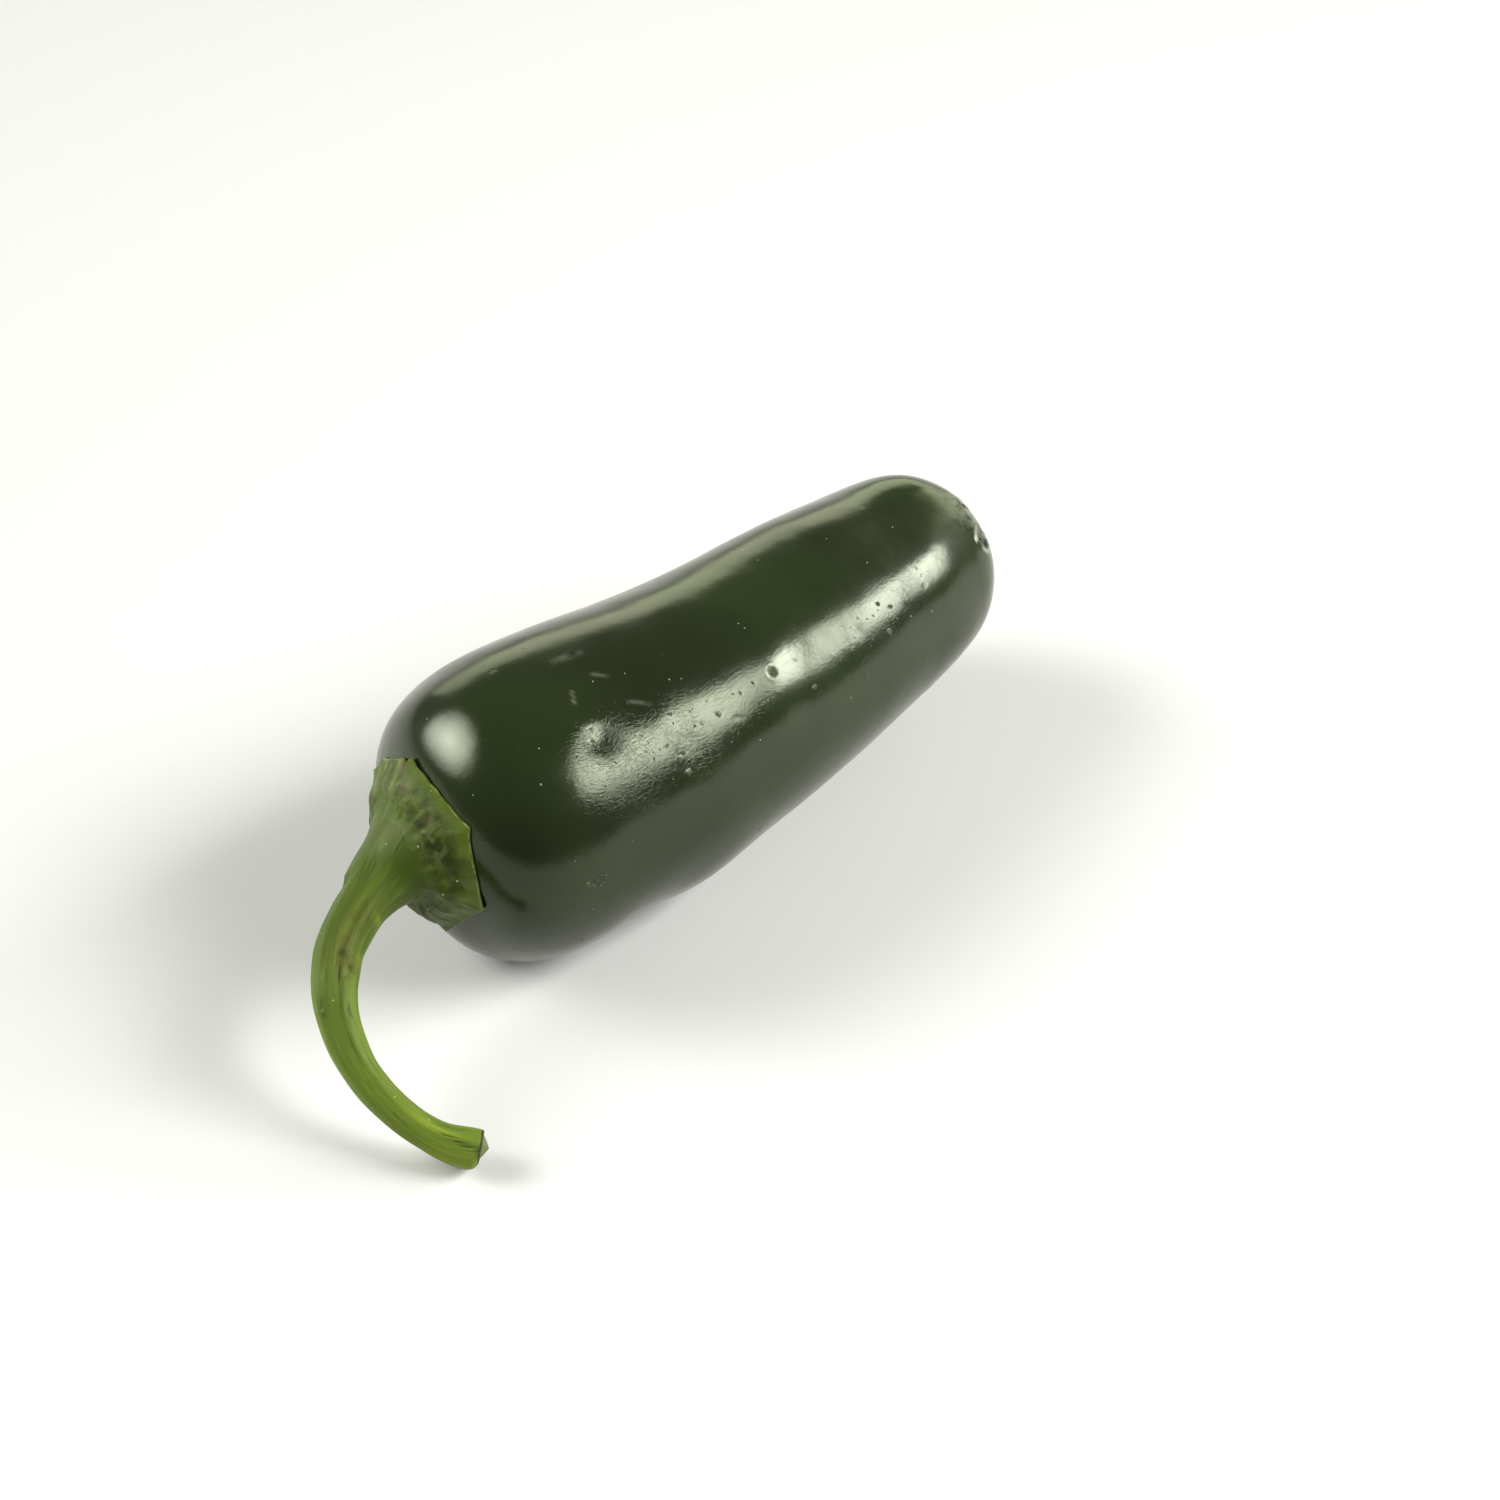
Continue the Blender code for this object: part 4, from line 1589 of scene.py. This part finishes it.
@dataclass(frozen=True)
class Fibres:
    """Green fibrous tissue that the stalk and the calyx's middle share.

    Attributes:
        near: colour near the calyx.
        far: colour far from it.
        bright: colour of its broad streaks.
        pale: colour of its light lines.
        deep: colour of its dark lines.
        fade: distances from the calyx over which near turns into far, in mm.
        clearing: distances over which the streaks come out, in mm.
        streak_scale: streaks round the stalk, for each radian.
        line_scale: fine lines round the stalk, for each radian.
        detail: number of their finer layers.
        bend: how far they are bent.
        least_clear: how far the streaks show at the calyx, from 0 to 1.
        streak_ease: noise at which the broad streaks begin and are full, and their masks there.
        light_ease: the same for the light lines.
        shade_ease: the same for the dark lines.
    """

    near: str = "#43521c"
    far: str = "#5f7129"
    bright: str = "#667829"
    pale: str = "#7f8f45"
    deep: str = "#323e0f"
    fade: tuple[float, float] = (4.0, 36.0)
    clearing: tuple[float, float] = (1.0, 14.0)
    streak_scale: float = 2.2
    line_scale: float = 6.5
    detail: float = 3.0
    bend: float = 0.3
    least_clear: float = 0.4
    streak_ease: tuple[float, float, float, float] = (0.42, 0.68, 0.0, 0.6)
    light_ease: tuple[float, float, float, float] = (0.56, 0.74, 0.0, 0.35)
    shade_ease: tuple[float, float, float, float] = (0.44, 0.28, 0.0, 0.5)

    def colour(self, nodes: Nodes, grain: Socket, arc: Socket | float) -> tuple[Socket, Socket]:
        """Colour of the tissue, and the noise of its fine lines.

        Args:
            nodes: the material's nodes.
            grain: place in the fibres.
            arc: distance from the calyx, in mm.

        Returns:
            The colour and the noise.
        """
        clear = nodes.add(Step.RAMP, arc, *self.clearing, self.least_clear, 1.0)
        lines = nodes.add(Step.NOISE, grain, self.line_scale, self.detail, self.bend)
        streaks = nodes.add(Step.NOISE, grain, self.streak_scale, self.detail, self.bend)
        streaks = nodes.add(Step.RAMP, streaks, *self.streak_ease)
        light = nodes.add(Step.RAMP, lines, *self.light_ease)
        shade = nodes.add(Step.RAMP, lines, *self.shade_ease)
        masks = [nodes.add(Step.MULTIPLY, mask, clear) for mask in (streaks, light, shade)]
        age = nodes.add(Step.RAMP, arc, *self.fade)
        layers = [(age, self.far), *zip(masks, (self.bright, self.pale, self.deep))]
        return nodes.paint(self.near, *layers), lines


@dataclass(frozen=True)
class Mottling:
    """Soft dark blotches with small spots in them, alike on the calyx and on the stalk."""

    clouds: Cloud = Cloud(2.0, 3.0, 0.36, 0.56, bend=0.3)
    spots: Cloud = Cloud(0.8, 3.0, 0.48, 0.66, bend=0.4)
    spot_share: float = 0.8

    def mask(self, nodes: Nodes, place: Socket) -> Socket:
        """How dark they are, from 0 to 1, at a place in metres."""
        spots = nodes.add(Step.MULTIPLY, self.spots.mask(nodes, place), self.spot_share)
        return nodes.largest(self.clouds.mask(nodes, place), spots)


@dataclass(frozen=True)
class WaxySkin(Finish):
    """Cuticle of a fresh pod: a thin wax over dark flesh.

    It gives the eye a deep green under a bright, slightly grainy gloss, with pale specks of dust and dull
    corky marks. Sizes and heights are in mm. An ease is a pair of values between which a mask goes from 0 to
    1, or from a third value to a fourth.
    """

    name: str = "waxy_pod_cuticle"
    gloss: str = "#e6f0d0"
    ior: float = 1.5
    specular: float = 0.5
    roughness: float = 0.17
    deep: str = "#1c2211"
    leaf: str = "#202912"
    cork: str = "#202414"
    crumb: str = "#5d6343"
    speck: str = "#b7bda4"
    tone: Cloud = Cloud(22.0, 2.0, 0.38, 0.62)
    broken: Cloud = Cloud(1.0, 4.0, 0.25, 0.65)
    chips: Cloud = Cloud(0.55, 3.0, 0.67, 0.73)
    mist: Cloud = Cloud(7.0, 3.0, 0.3, 0.7, -0.02, 0.04)
    dust: tuple[Flecks, ...] = (Flecks(1.7, 0.07, 0.4), Flecks(4.3, 0.12, 0.4))
    scratches: tuple[Flecks, ...] = (
        Flecks(5.0, 0.08, 0.40, stretch=(1.0, 6.0, 6.0), turn=(0.3, 0.2, 0.9)),
        Flecks(6.0, 0.08, 0.35, stretch=(9.0, 1.2, 1.2), turn=(0.1, 0.5, 0.3)),
    )
    pores: Flecks = Flecks(2.3, 0.12, 0.35)
    dust_share: float = 0.7
    scratch_share: float = 0.15
    smear_share: float = 0.5
    chip_share: float = 0.8
    worn_roughness: float = 0.45
    cork_ease: tuple[float, float] = (0.05, 0.55)
    crumbled_ease: tuple[float, float, float, float] = (0.30, 0.55, 0.4, 1.0)
    crumb_ease: tuple[float, float] = (0.52, 0.66)
    grainy_ease: tuple[float, float] = (0.05, 0.45)
    crumb_size: float = 0.45
    crumb_detail: float = 3.0
    swirl_size: float = 6.0
    swirl_detail: float = 1.0
    swirl_push: float = 3.0
    # The grains of a wax are too fine to show, so they are drawn this coarse
    grain_sizes: tuple[float, float, float] = (0.75, 0.26, 0.26)
    grain_detail: float = 2.0
    grain_bend: float = 0.4
    dimple_size: float = 1.3
    dimple_bend: float = 0.3
    crease_width: float = 0.07
    grain_height: float = 0.008
    rough_grain_height: float = 0.034
    crease_depth: float = 0.009
    chip_depth: float = 0.04
    dimple_height: float = 0.012
    pore_depth: float = 0.03
    dust_height: float = 0.03
    cork_height: float = 0.20

    def weave(self, nodes: Nodes, place: Socket) -> Socket:
        """Fine grain, drawn out along the pod and bent by slow swirls.

        Args:
            nodes: the material's nodes.
            place: place in metres.

        Returns:
            Its noise.
        """
        swirl = nodes.add(Step.NOISE, place, per_metre(self.swirl_size), self.swirl_detail)
        bent = nodes.add(Step.PUSH, swirl.node.outputs["Color"], (self.swirl_push * MM,) * 3, place)
        drawn = nodes.add(Step.MAPPING, bent, [per_metre(size) for size in self.grain_sizes])
        return nodes.add(Step.NOISE, drawn, 1.0, self.grain_detail, self.grain_bend)

    def make(self) -> bpy.types.Material:
        """Make the skin's finish.

        Returns:
            The material.
        """
        material, nodes, place = self.start()
        looks = nodes.add(Step.STORED_VECTOR, attribute_name="looks")
        cork, wax, grainy = nodes.add(Step.PARTS, looks).node.outputs
        crumbs = nodes.add(Step.NOISE, place, per_metre(self.crumb_size), self.crumb_detail)
        crumbled = nodes.add(Step.RAMP, crumbs, *self.crumbled_ease)
        corky = nodes.add(Step.MULTIPLY, nodes.add(Step.RAMP, cork, *self.cork_ease), crumbled)
        rust = nodes.paint(self.cork, (nodes.add(Step.RAMP, crumbs, *self.crumb_ease), self.crumb))
        dust = nodes.largest(*(flecks.mask(nodes, place) for flecks in self.dust))
        scratches = nodes.largest(*(flecks.mask(nodes, place) for flecks in self.scratches))
        smears = nodes.add(Step.MULTIPLY, wax, self.broken.mask(nodes, place))
        marks = ((dust, self.dust_share), (scratches, self.scratch_share), (smears, self.smear_share))
        pale = nodes.largest(*(nodes.add(Step.MULTIPLY, mark, share) for mark, share in marks))
        rough = nodes.add(Step.RAMP, grainy, *self.grainy_ease)
        chips = nodes.add(Step.MULTIPLY, self.chips.mask(nodes, place), rough)
        chipped = nodes.add(Step.MULTIPLY, chips, self.chip_share)
        tone = self.tone.mask(nodes, place)
        layers = ((tone, self.leaf), (corky, rust), (pale, self.speck), (chipped, self.cork))
        colour = nodes.paint(self.deep, *layers)
        misty = nodes.add(Step.ADD, self.mist.mask(nodes, place), self.roughness)
        wear = nodes.largest(corky, pale, chips)
        roughness = nodes.add(Step.MULTIPLY_ADD, wear, self.worn_roughness, misty)
        grain = self.weave(nodes, place)
        crossing = nodes.add(Step.ABSOLUTE, nodes.add(Step.SUBTRACT, grain, 0.5))
        creases = nodes.add(Step.RAMP, crossing, 0.0, self.crease_width, 1.0, 0.0)
        scale = per_metre(self.dimple_size)
        dimples = nodes.add(Step.NOISE, place, scale, self.grain_detail, self.dimple_bend)
        height = nodes.relief(
            (grain, self.grain_height),
            (nodes.add(Step.MULTIPLY, grain, grainy), self.rough_grain_height),
            (nodes.add(Step.MULTIPLY, creases, grainy), -self.crease_depth),
            (chips, -self.chip_depth),
            (dimples, self.dimple_height),
            (self.pores.mask(nodes, place), -self.pore_depth),
            (dust, self.dust_height),
            (nodes.add(Step.MULTIPLY, corky, crumbs), self.cork_height),
        )
        self.finish(nodes, colour, roughness, height)
        return material


@dataclass(frozen=True)
class CalyxTissue(Finish):
    """Leathery green cap, drying at its folds.

    It gives the eye a matte olive with dark blotches round the stalk's foot, pale streaks that run outwards,
    made stronger on two fans as a painted sheen, and a bright thin rim. Sizes and heights are in mm. An ease
    is a pair of values between which a mask goes from 0 to 1.
    """

    name: str = "leathery_calyx_tissue"
    gloss: str = "#dfe9bc"
    ior: float = 1.45
    specular: float = 0.22
    roughness: float = 0.48
    fibres: Fibres = Fibres()
    mottling: Mottling = Mottling()
    olive: str = "#3f4a1c"
    fresh: str = "#4b5b1a"
    bright: str = "#4f6019"
    pale: str = "#7c8755"
    dark: str = "#1f270f"
    brown: str = "#4a3f22"
    rim: str = "#7b8948"
    speck: str = "#d5dabb"
    rust: Cloud = Cloud(2.2, 3.0, 0.56, 0.70, 0.0, 0.5)
    swirls: Cloud = Cloud(2.2, 2.0, 0.50, 0.60, 0.0, 0.28, bend=1.6)
    patchy: Cloud = Cloud(1.1, 2.0, 0.38, 0.62, 0.1, 0.9)
    specks: Flecks = Flecks(1.6, 0.10, 0.35)
    cloud_size: float = 2.6
    cloud_detail: float = 4.0
    cloud_bend: float = 0.6
    fresh_ease: tuple[float, float] = (0.4, 0.62)
    ragged: float = 0.8
    green_ease: tuple[float, float] = (0.6, 1.2)
    streak_scale: float = 9.0
    streak_detail: float = 3.0
    streak_bend: float = 0.4
    streak_ease: tuple[float, float] = (0.42, 0.66)
    streaked: float = 0.10
    # Share by which the fans raise the pale streaks: a painted sheen
    streak_and_sheen_strength: float = 0.55
    tint_share: float = 0.85
    rim_shares: tuple[float, float] = (0.990, 0.999)
    wrinkle_scale: float = 26.0
    wrinkle_bend: float = 0.8
    pore_size: float = 0.35
    wrinkle_height: float = 0.035
    pore_height: float = 0.03
    cloud_height: float = 0.12
    sheen_from: tuple[float, float] = (0.3, 0.7)
    sheen_change: tuple[float, float] = (-0.08, 0.10)

    def make(self) -> bpy.types.Material:
        """Make the cap's finish.

        Returns:
            The material.
        """
        material, nodes, place = self.start()
        share = nodes.add(Step.STORED, attribute_name="share")
        near = nodes.add(Step.STORED, attribute_name="near")
        notch = nodes.add(Step.STORED, attribute_name="rust")
        grain = nodes.add(Step.STORED_VECTOR, attribute_name="grain")
        tints = nodes.add(Step.STORED_VECTOR, attribute_name="tints")
        mottled, stripe, painted_sheen_fans = nodes.add(Step.PARTS, tints).node.outputs
        cloud = nodes.add(Step.NOISE, place, per_metre(self.cloud_size), self.cloud_detail, self.cloud_bend)
        streaks = nodes.add(Step.NOISE, grain, self.streak_scale, self.streak_detail, self.streak_bend)
        streaks = nodes.add(Step.RAMP, streaks, *self.streak_ease)
        # Pale streaks everywhere, and stronger on the fans as a painted sheen
        streak_and_sheen_strength = nodes.add(Step.MULTIPLY_ADD, painted_sheen_fans, self.streak_and_sheen_strength, self.streaked)
        green, _ = self.fibres.colour(nodes, grain, 0.0)
        ragged = nodes.add(Step.MULTIPLY_ADD, cloud, self.ragged, near)
        blotches = nodes.add(Step.MULTIPLY, self.mottling.mask(nodes, place), mottled)
        edge = nodes.add(Step.RAMP, share, *self.rim_shares)
        specks = self.specks.mask(nodes, place)
        colour = nodes.paint(
            self.olive,
            (nodes.add(Step.RAMP, cloud, *self.fresh_ease), self.fresh),
            (nodes.add(Step.MULTIPLY, streaks, streak_and_sheen_strength), self.pale),
            (nodes.add(Step.MULTIPLY, stripe, self.tint_share), self.bright),
            (nodes.add(Step.RAMP, ragged, *self.green_ease), green),
            (nodes.add(Step.MULTIPLY, blotches, self.tint_share), self.dark),
            (nodes.largest(self.rust.mask(nodes, place), notch), self.brown),
            (nodes.add(Step.MULTIPLY, self.swirls.mask(nodes, place), mottled), self.pale),
            (nodes.add(Step.MULTIPLY, edge, self.patchy.mask(nodes, place)), self.rim),
            (nodes.add(Step.MULTIPLY, specks, self.tint_share), self.speck),
        )
        wrinkles = nodes.add(Step.NOISE, grain, self.wrinkle_scale, self.streak_detail, self.wrinkle_bend)
        pores = nodes.add(Step.NOISE, place, per_metre(self.pore_size), self.streak_detail)
        height = nodes.relief(
            (wrinkles, self.wrinkle_height),
            (pores, self.pore_height),
            (cloud, self.cloud_height),
        )
        dull = [self.roughness + change for change in self.sheen_change]
        sheen = nodes.add(Step.RAMP, cloud, *self.sheen_from, *dull)
        self.finish(nodes, colour, sheen, height)
        return material


@dataclass(frozen=True)
class StalkTissue(Finish):
    """Fibrous green stalk.

    It gives the eye long yellow-green streaks, brown scuffs near the calyx, and a pale pith in a dark ring
    where it was cut. Sizes and heights are in mm.
    """

    name: str = "fibrous_stalk_tissue"
    gloss: str = "#dfe9b0"
    ior: float = 1.45
    specular: float = 0.2
    roughness: float = 0.38
    fibres: Fibres = Fibres()
    mottling: Mottling = Mottling()
    brown: str = "#514424"
    yellow: str = "#8b9b2f"
    dark: str = "#20270f"
    pith: str = "#63673d"
    ring: str = "#2a2a17"
    speck: str = "#c5cf9b"
    patches: Cloud = Cloud(0.8, 4.0, 0.36, 0.62, 0.25, 1.0, bend=0.6)
    specks: Flecks = Flecks(1.7, 0.09, 0.35)
    yellow_share: float = 0.8
    speck_share: float = 0.6
    dark_share: float = 0.5
    dark_least: float = 0.45
    fibre_scale: float = 16.0
    fibre_detail: float = 3.0
    fibre_bend: float = 0.3
    pore_size: float = 0.4
    fibre_height: float = 0.05
    line_height: float = 0.07
    pore_height: float = 0.03
    sheen_from: tuple[float, float] = (0.3, 0.7)
    sheen_change: float = 0.12

    def make(self) -> bpy.types.Material:
        """Make the stalk's finish.

        Returns:
            The material.
        """
        material, nodes, place = self.start()
        arc = nodes.add(Step.STORED, attribute_name="arc")
        ring = nodes.add(Step.STORED, attribute_name="ring")
        pith = nodes.add(Step.STORED, attribute_name="pith")
        grain = nodes.add(Step.STORED_VECTOR, attribute_name="grain")
        tints = nodes.add(Step.STORED_VECTOR, attribute_name="tints")
        browned, yellowed, darkened = nodes.add(Step.PARTS, tints).node.outputs
        green, lines = self.fibres.colour(nodes, grain, arc)
        blotches = self.mottling.mask(nodes, place)
        blotches = nodes.add(Step.MULTIPLY_ADD, blotches, self.dark_share, self.dark_least)
        colour = nodes.paint(
            green,
            (nodes.add(Step.MULTIPLY, yellowed, self.yellow_share), self.yellow),
            (nodes.add(Step.MULTIPLY, browned, self.patches.mask(nodes, place)), self.brown),
            (nodes.add(Step.MULTIPLY, darkened, blotches), self.dark),
            (nodes.add(Step.MULTIPLY, self.specks.mask(nodes, place), self.speck_share), self.speck),
            (ring, self.ring),
            (pith, self.pith),
        )
        strands = nodes.add(Step.NOISE, grain, self.fibre_scale, self.fibre_detail, self.fibre_bend)
        pores = nodes.add(Step.NOISE, place, per_metre(self.pore_size), self.fibre_detail)
        height = nodes.relief(
            (strands, self.fibre_height),
            (lines, self.line_height),
            (pores, self.pore_height),
        )
        dull = self.roughness + self.sheen_change
        sheen = nodes.add(Step.RAMP, lines, *self.sheen_from, self.roughness, dull)
        self.finish(nodes, colour, sheen, height)
        return material


class Face(Enum):
    """Shape of a soft light's face."""

    RECTANGLE = "RECTANGLE"
    DISK = "DISK"


@dataclass(frozen=True)
class Softbox:
    """Soft light near the pod, behind a grid that dims it away from where it faces.

    Attributes:
        name: name of the light.
        heading: direction to its middle from the pod.
        facing: direction from the pod in which it looks brightest.
        run: direction of its width.
        distance: distance, in metres.
        size: width and height, in metres.
        spread: angle of the grid's cone, in degrees.
        radiance: brightness of its face where it looks brightest, in watts per square metre and steradian.
        face: shape of its face.
        colour: its colour.
    """

    name: str
    heading: tuple[float, float, float]
    facing: tuple[float, float, float]
    run: tuple[float, float, float]
    distance: float
    size: tuple[float, float]
    spread: float
    radiance: float
    face: Face = Face.RECTANGLE
    colour: str = "#ffffff"

    def power(self) -> float:
        """Power in watts: pi times the face's area and its radiance, shared out by the grid's cone."""
        area = self.size[0] * self.size[1] * (np.pi / 4.0 if self.face is Face.DISK else 1.0)
        half = np.radians(self.spread / 2.0)
        return self.radiance * np.pi * area * (np.tan(half) - half) / np.tan(half)


@dataclass(frozen=True)
class Studio:
    """Pale floor, soft lights and the camera.

    Lengths are in metres, the lens and its sensor in mm and angles in degrees.
    """

    camera_place: tuple[float, float, float] = (-0.19705, -0.25801, 0.30716)
    camera_heading: float = 39.48
    camera_down: float = 42.11
    lens: float = 100.0
    sensor: float = 36.0
    clip_end: float = 20.0
    floor_radius: float = 3.0
    floor_sides: int = 64
    floor_drop: float = 0.05 * MM
    floor_colour: str = "#cfcfcb"
    floor_roughness: float = 0.9
    floor_specular: float = 0.1
    world_colour: str = "#dfe6da"
    world_strength: float = 0.16
    aim: tuple[float, float, float] = (0.005, 0.0, 0.015)
    boxes: tuple[Softbox, ...] = (
        Softbox(
            "near_softbox",
            heading=(0.513, -0.615, 0.593),
            facing=(0.590, -0.470, 0.650),
            run=(0.50, 0.21, -0.24),
            distance=0.8,
            size=(0.436, 0.40),
            spread=86.0,
            radiance=20.5,
        ),
        Softbox(
            "far_softbox",
            heading=(0.847, -0.371, 0.369),
            facing=(0.865, -0.260, 0.430),
            run=(0.19, 0.18, -0.20),
            distance=0.8,
            size=(0.20, 0.28),
            spread=80.0,
            radiance=27.0,
        ),
        Softbox(
            "tip_softbox",
            heading=(0.906, 0.226, 0.350),
            facing=(0.906, 0.226, 0.350),
            run=(-0.24, 0.97, 0.0),
            distance=1.2,
            size=(0.64, 0.26),
            spread=140.0,
            radiance=3.0,
            colour="#fbffdc",
        ),
        Softbox(
            "shoulder_softbox",
            heading=(-0.54, 0.67, 0.51),
            facing=(-0.54, 0.67, 0.51),
            run=(0.78, 0.62, 0.0),
            distance=0.8,
            size=(0.84, 0.84),
            spread=54.0,
            radiance=19.0,
            face=Face.DISK,
        ),
        Softbox(
            "rim_softbox",
            heading=(0.62, 0.76, 0.165),
            facing=(0.62, 0.76, 0.165),
            run=(-0.76, 0.62, 0.0),
            distance=1.2,
            size=(1.6, 0.36),
            spread=140.0,
            radiance=2.2,
            colour="#fbffdc",
        ),
    )

    def add_floor(self) -> None:
        """Plain pale floor."""
        turn = 2.0 * np.pi * np.arange(self.floor_sides) / self.floor_sides
        edge = np.stack([np.cos(turn), np.sin(turn), np.zeros_like(turn)], -1) * self.floor_radius
        edge[:, 2] = -self.floor_drop
        mesh = bpy.data.meshes.new("floor")
        mesh.from_pydata(edge.tolist(), [], [list(range(self.floor_sides))])
        material = bpy.data.materials.new("matte_studio_floor")
        material.use_nodes = True
        shader = material.node_tree.nodes["Principled BSDF"]
        shader.inputs["Base Color"].default_value = linear(self.floor_colour)
        shader.inputs["Roughness"].default_value = self.floor_roughness
        shader.inputs["Specular IOR Level"].default_value = self.floor_specular
        mesh.materials.append(material)
        floor = bpy.data.objects.new("floor", mesh)
        bpy.context.scene.collection.objects.link(floor)

    def add_lights(self) -> None:
        """Soft lights, turned by the axes of their faces, and a dim world."""
        for box in self.boxes:
            lamp = bpy.data.lights.new(box.name, "AREA")
            lamp.shape = box.face.value
            lamp.size, lamp.size_y = box.size
            lamp.spread = np.radians(box.spread)
            lamp.energy = box.power()
            lamp.color = linear(box.colour)[:3]
            item = bpy.data.objects.new(box.name, lamp)
            item.location = np.array(self.aim) + unit(np.array(box.heading)) * box.distance
            facing = unit(np.array(box.facing))
            run = np.array(box.run)
            side = unit(run - (run @ facing) * facing)
            axes = np.stack([side, np.cross(facing, side), facing], -1)
            item.rotation_mode = "QUATERNION"
            item.rotation_quaternion = Matrix(axes.tolist()).to_quaternion()
            item.visible_camera = False
            bpy.context.scene.collection.objects.link(item)
        world = bpy.data.worlds.new("dim_studio")
        world.use_nodes = True
        back = world.node_tree.nodes["Background"]
        back.inputs["Color"].default_value = linear(self.world_colour)
        back.inputs["Strength"].default_value = self.world_strength
        bpy.context.scene.world = world

    def add_camera(self) -> None:
        """Camera at the photograph's viewing angle, looking down at the pod from its stem end."""
        data = bpy.data.cameras.new("camera")
        data.lens = self.lens
        data.sensor_width = self.sensor
        data.clip_end = self.clip_end
        item = bpy.data.objects.new("camera", data)
        item.location = self.camera_place
        item.rotation_euler = (np.radians(90.0 - self.camera_down), 0.0, -np.radians(self.camera_heading))
        bpy.context.scene.collection.objects.link(item)
        bpy.context.scene.camera = item

    def build(self) -> None:
        """Set the stage."""
        bpy.context.scene.view_settings.view_transform = "Standard"
        self.add_camera()
        self.add_floor()
        self.add_lights()


def main() -> None:
    """Build the studio and the three pieces, and report each."""
    logging.basicConfig(level=logging.INFO, format="%(name)s %(message)s")
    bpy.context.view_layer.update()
    Studio().build()
    pod = Pod()
    foot = Foot()
    add_piece("waxy_pod", pod.build(), WaxySkin().make(), "pod")
    add_piece("calyx_cap", Calyx(pod, foot).build(), CalyxTissue().make(), "calyx")
    add_piece("ridged_stalk", Stalk(pod, foot).build(), StalkTissue().make(), "stem")


if __name__ == "__main__":
    main()
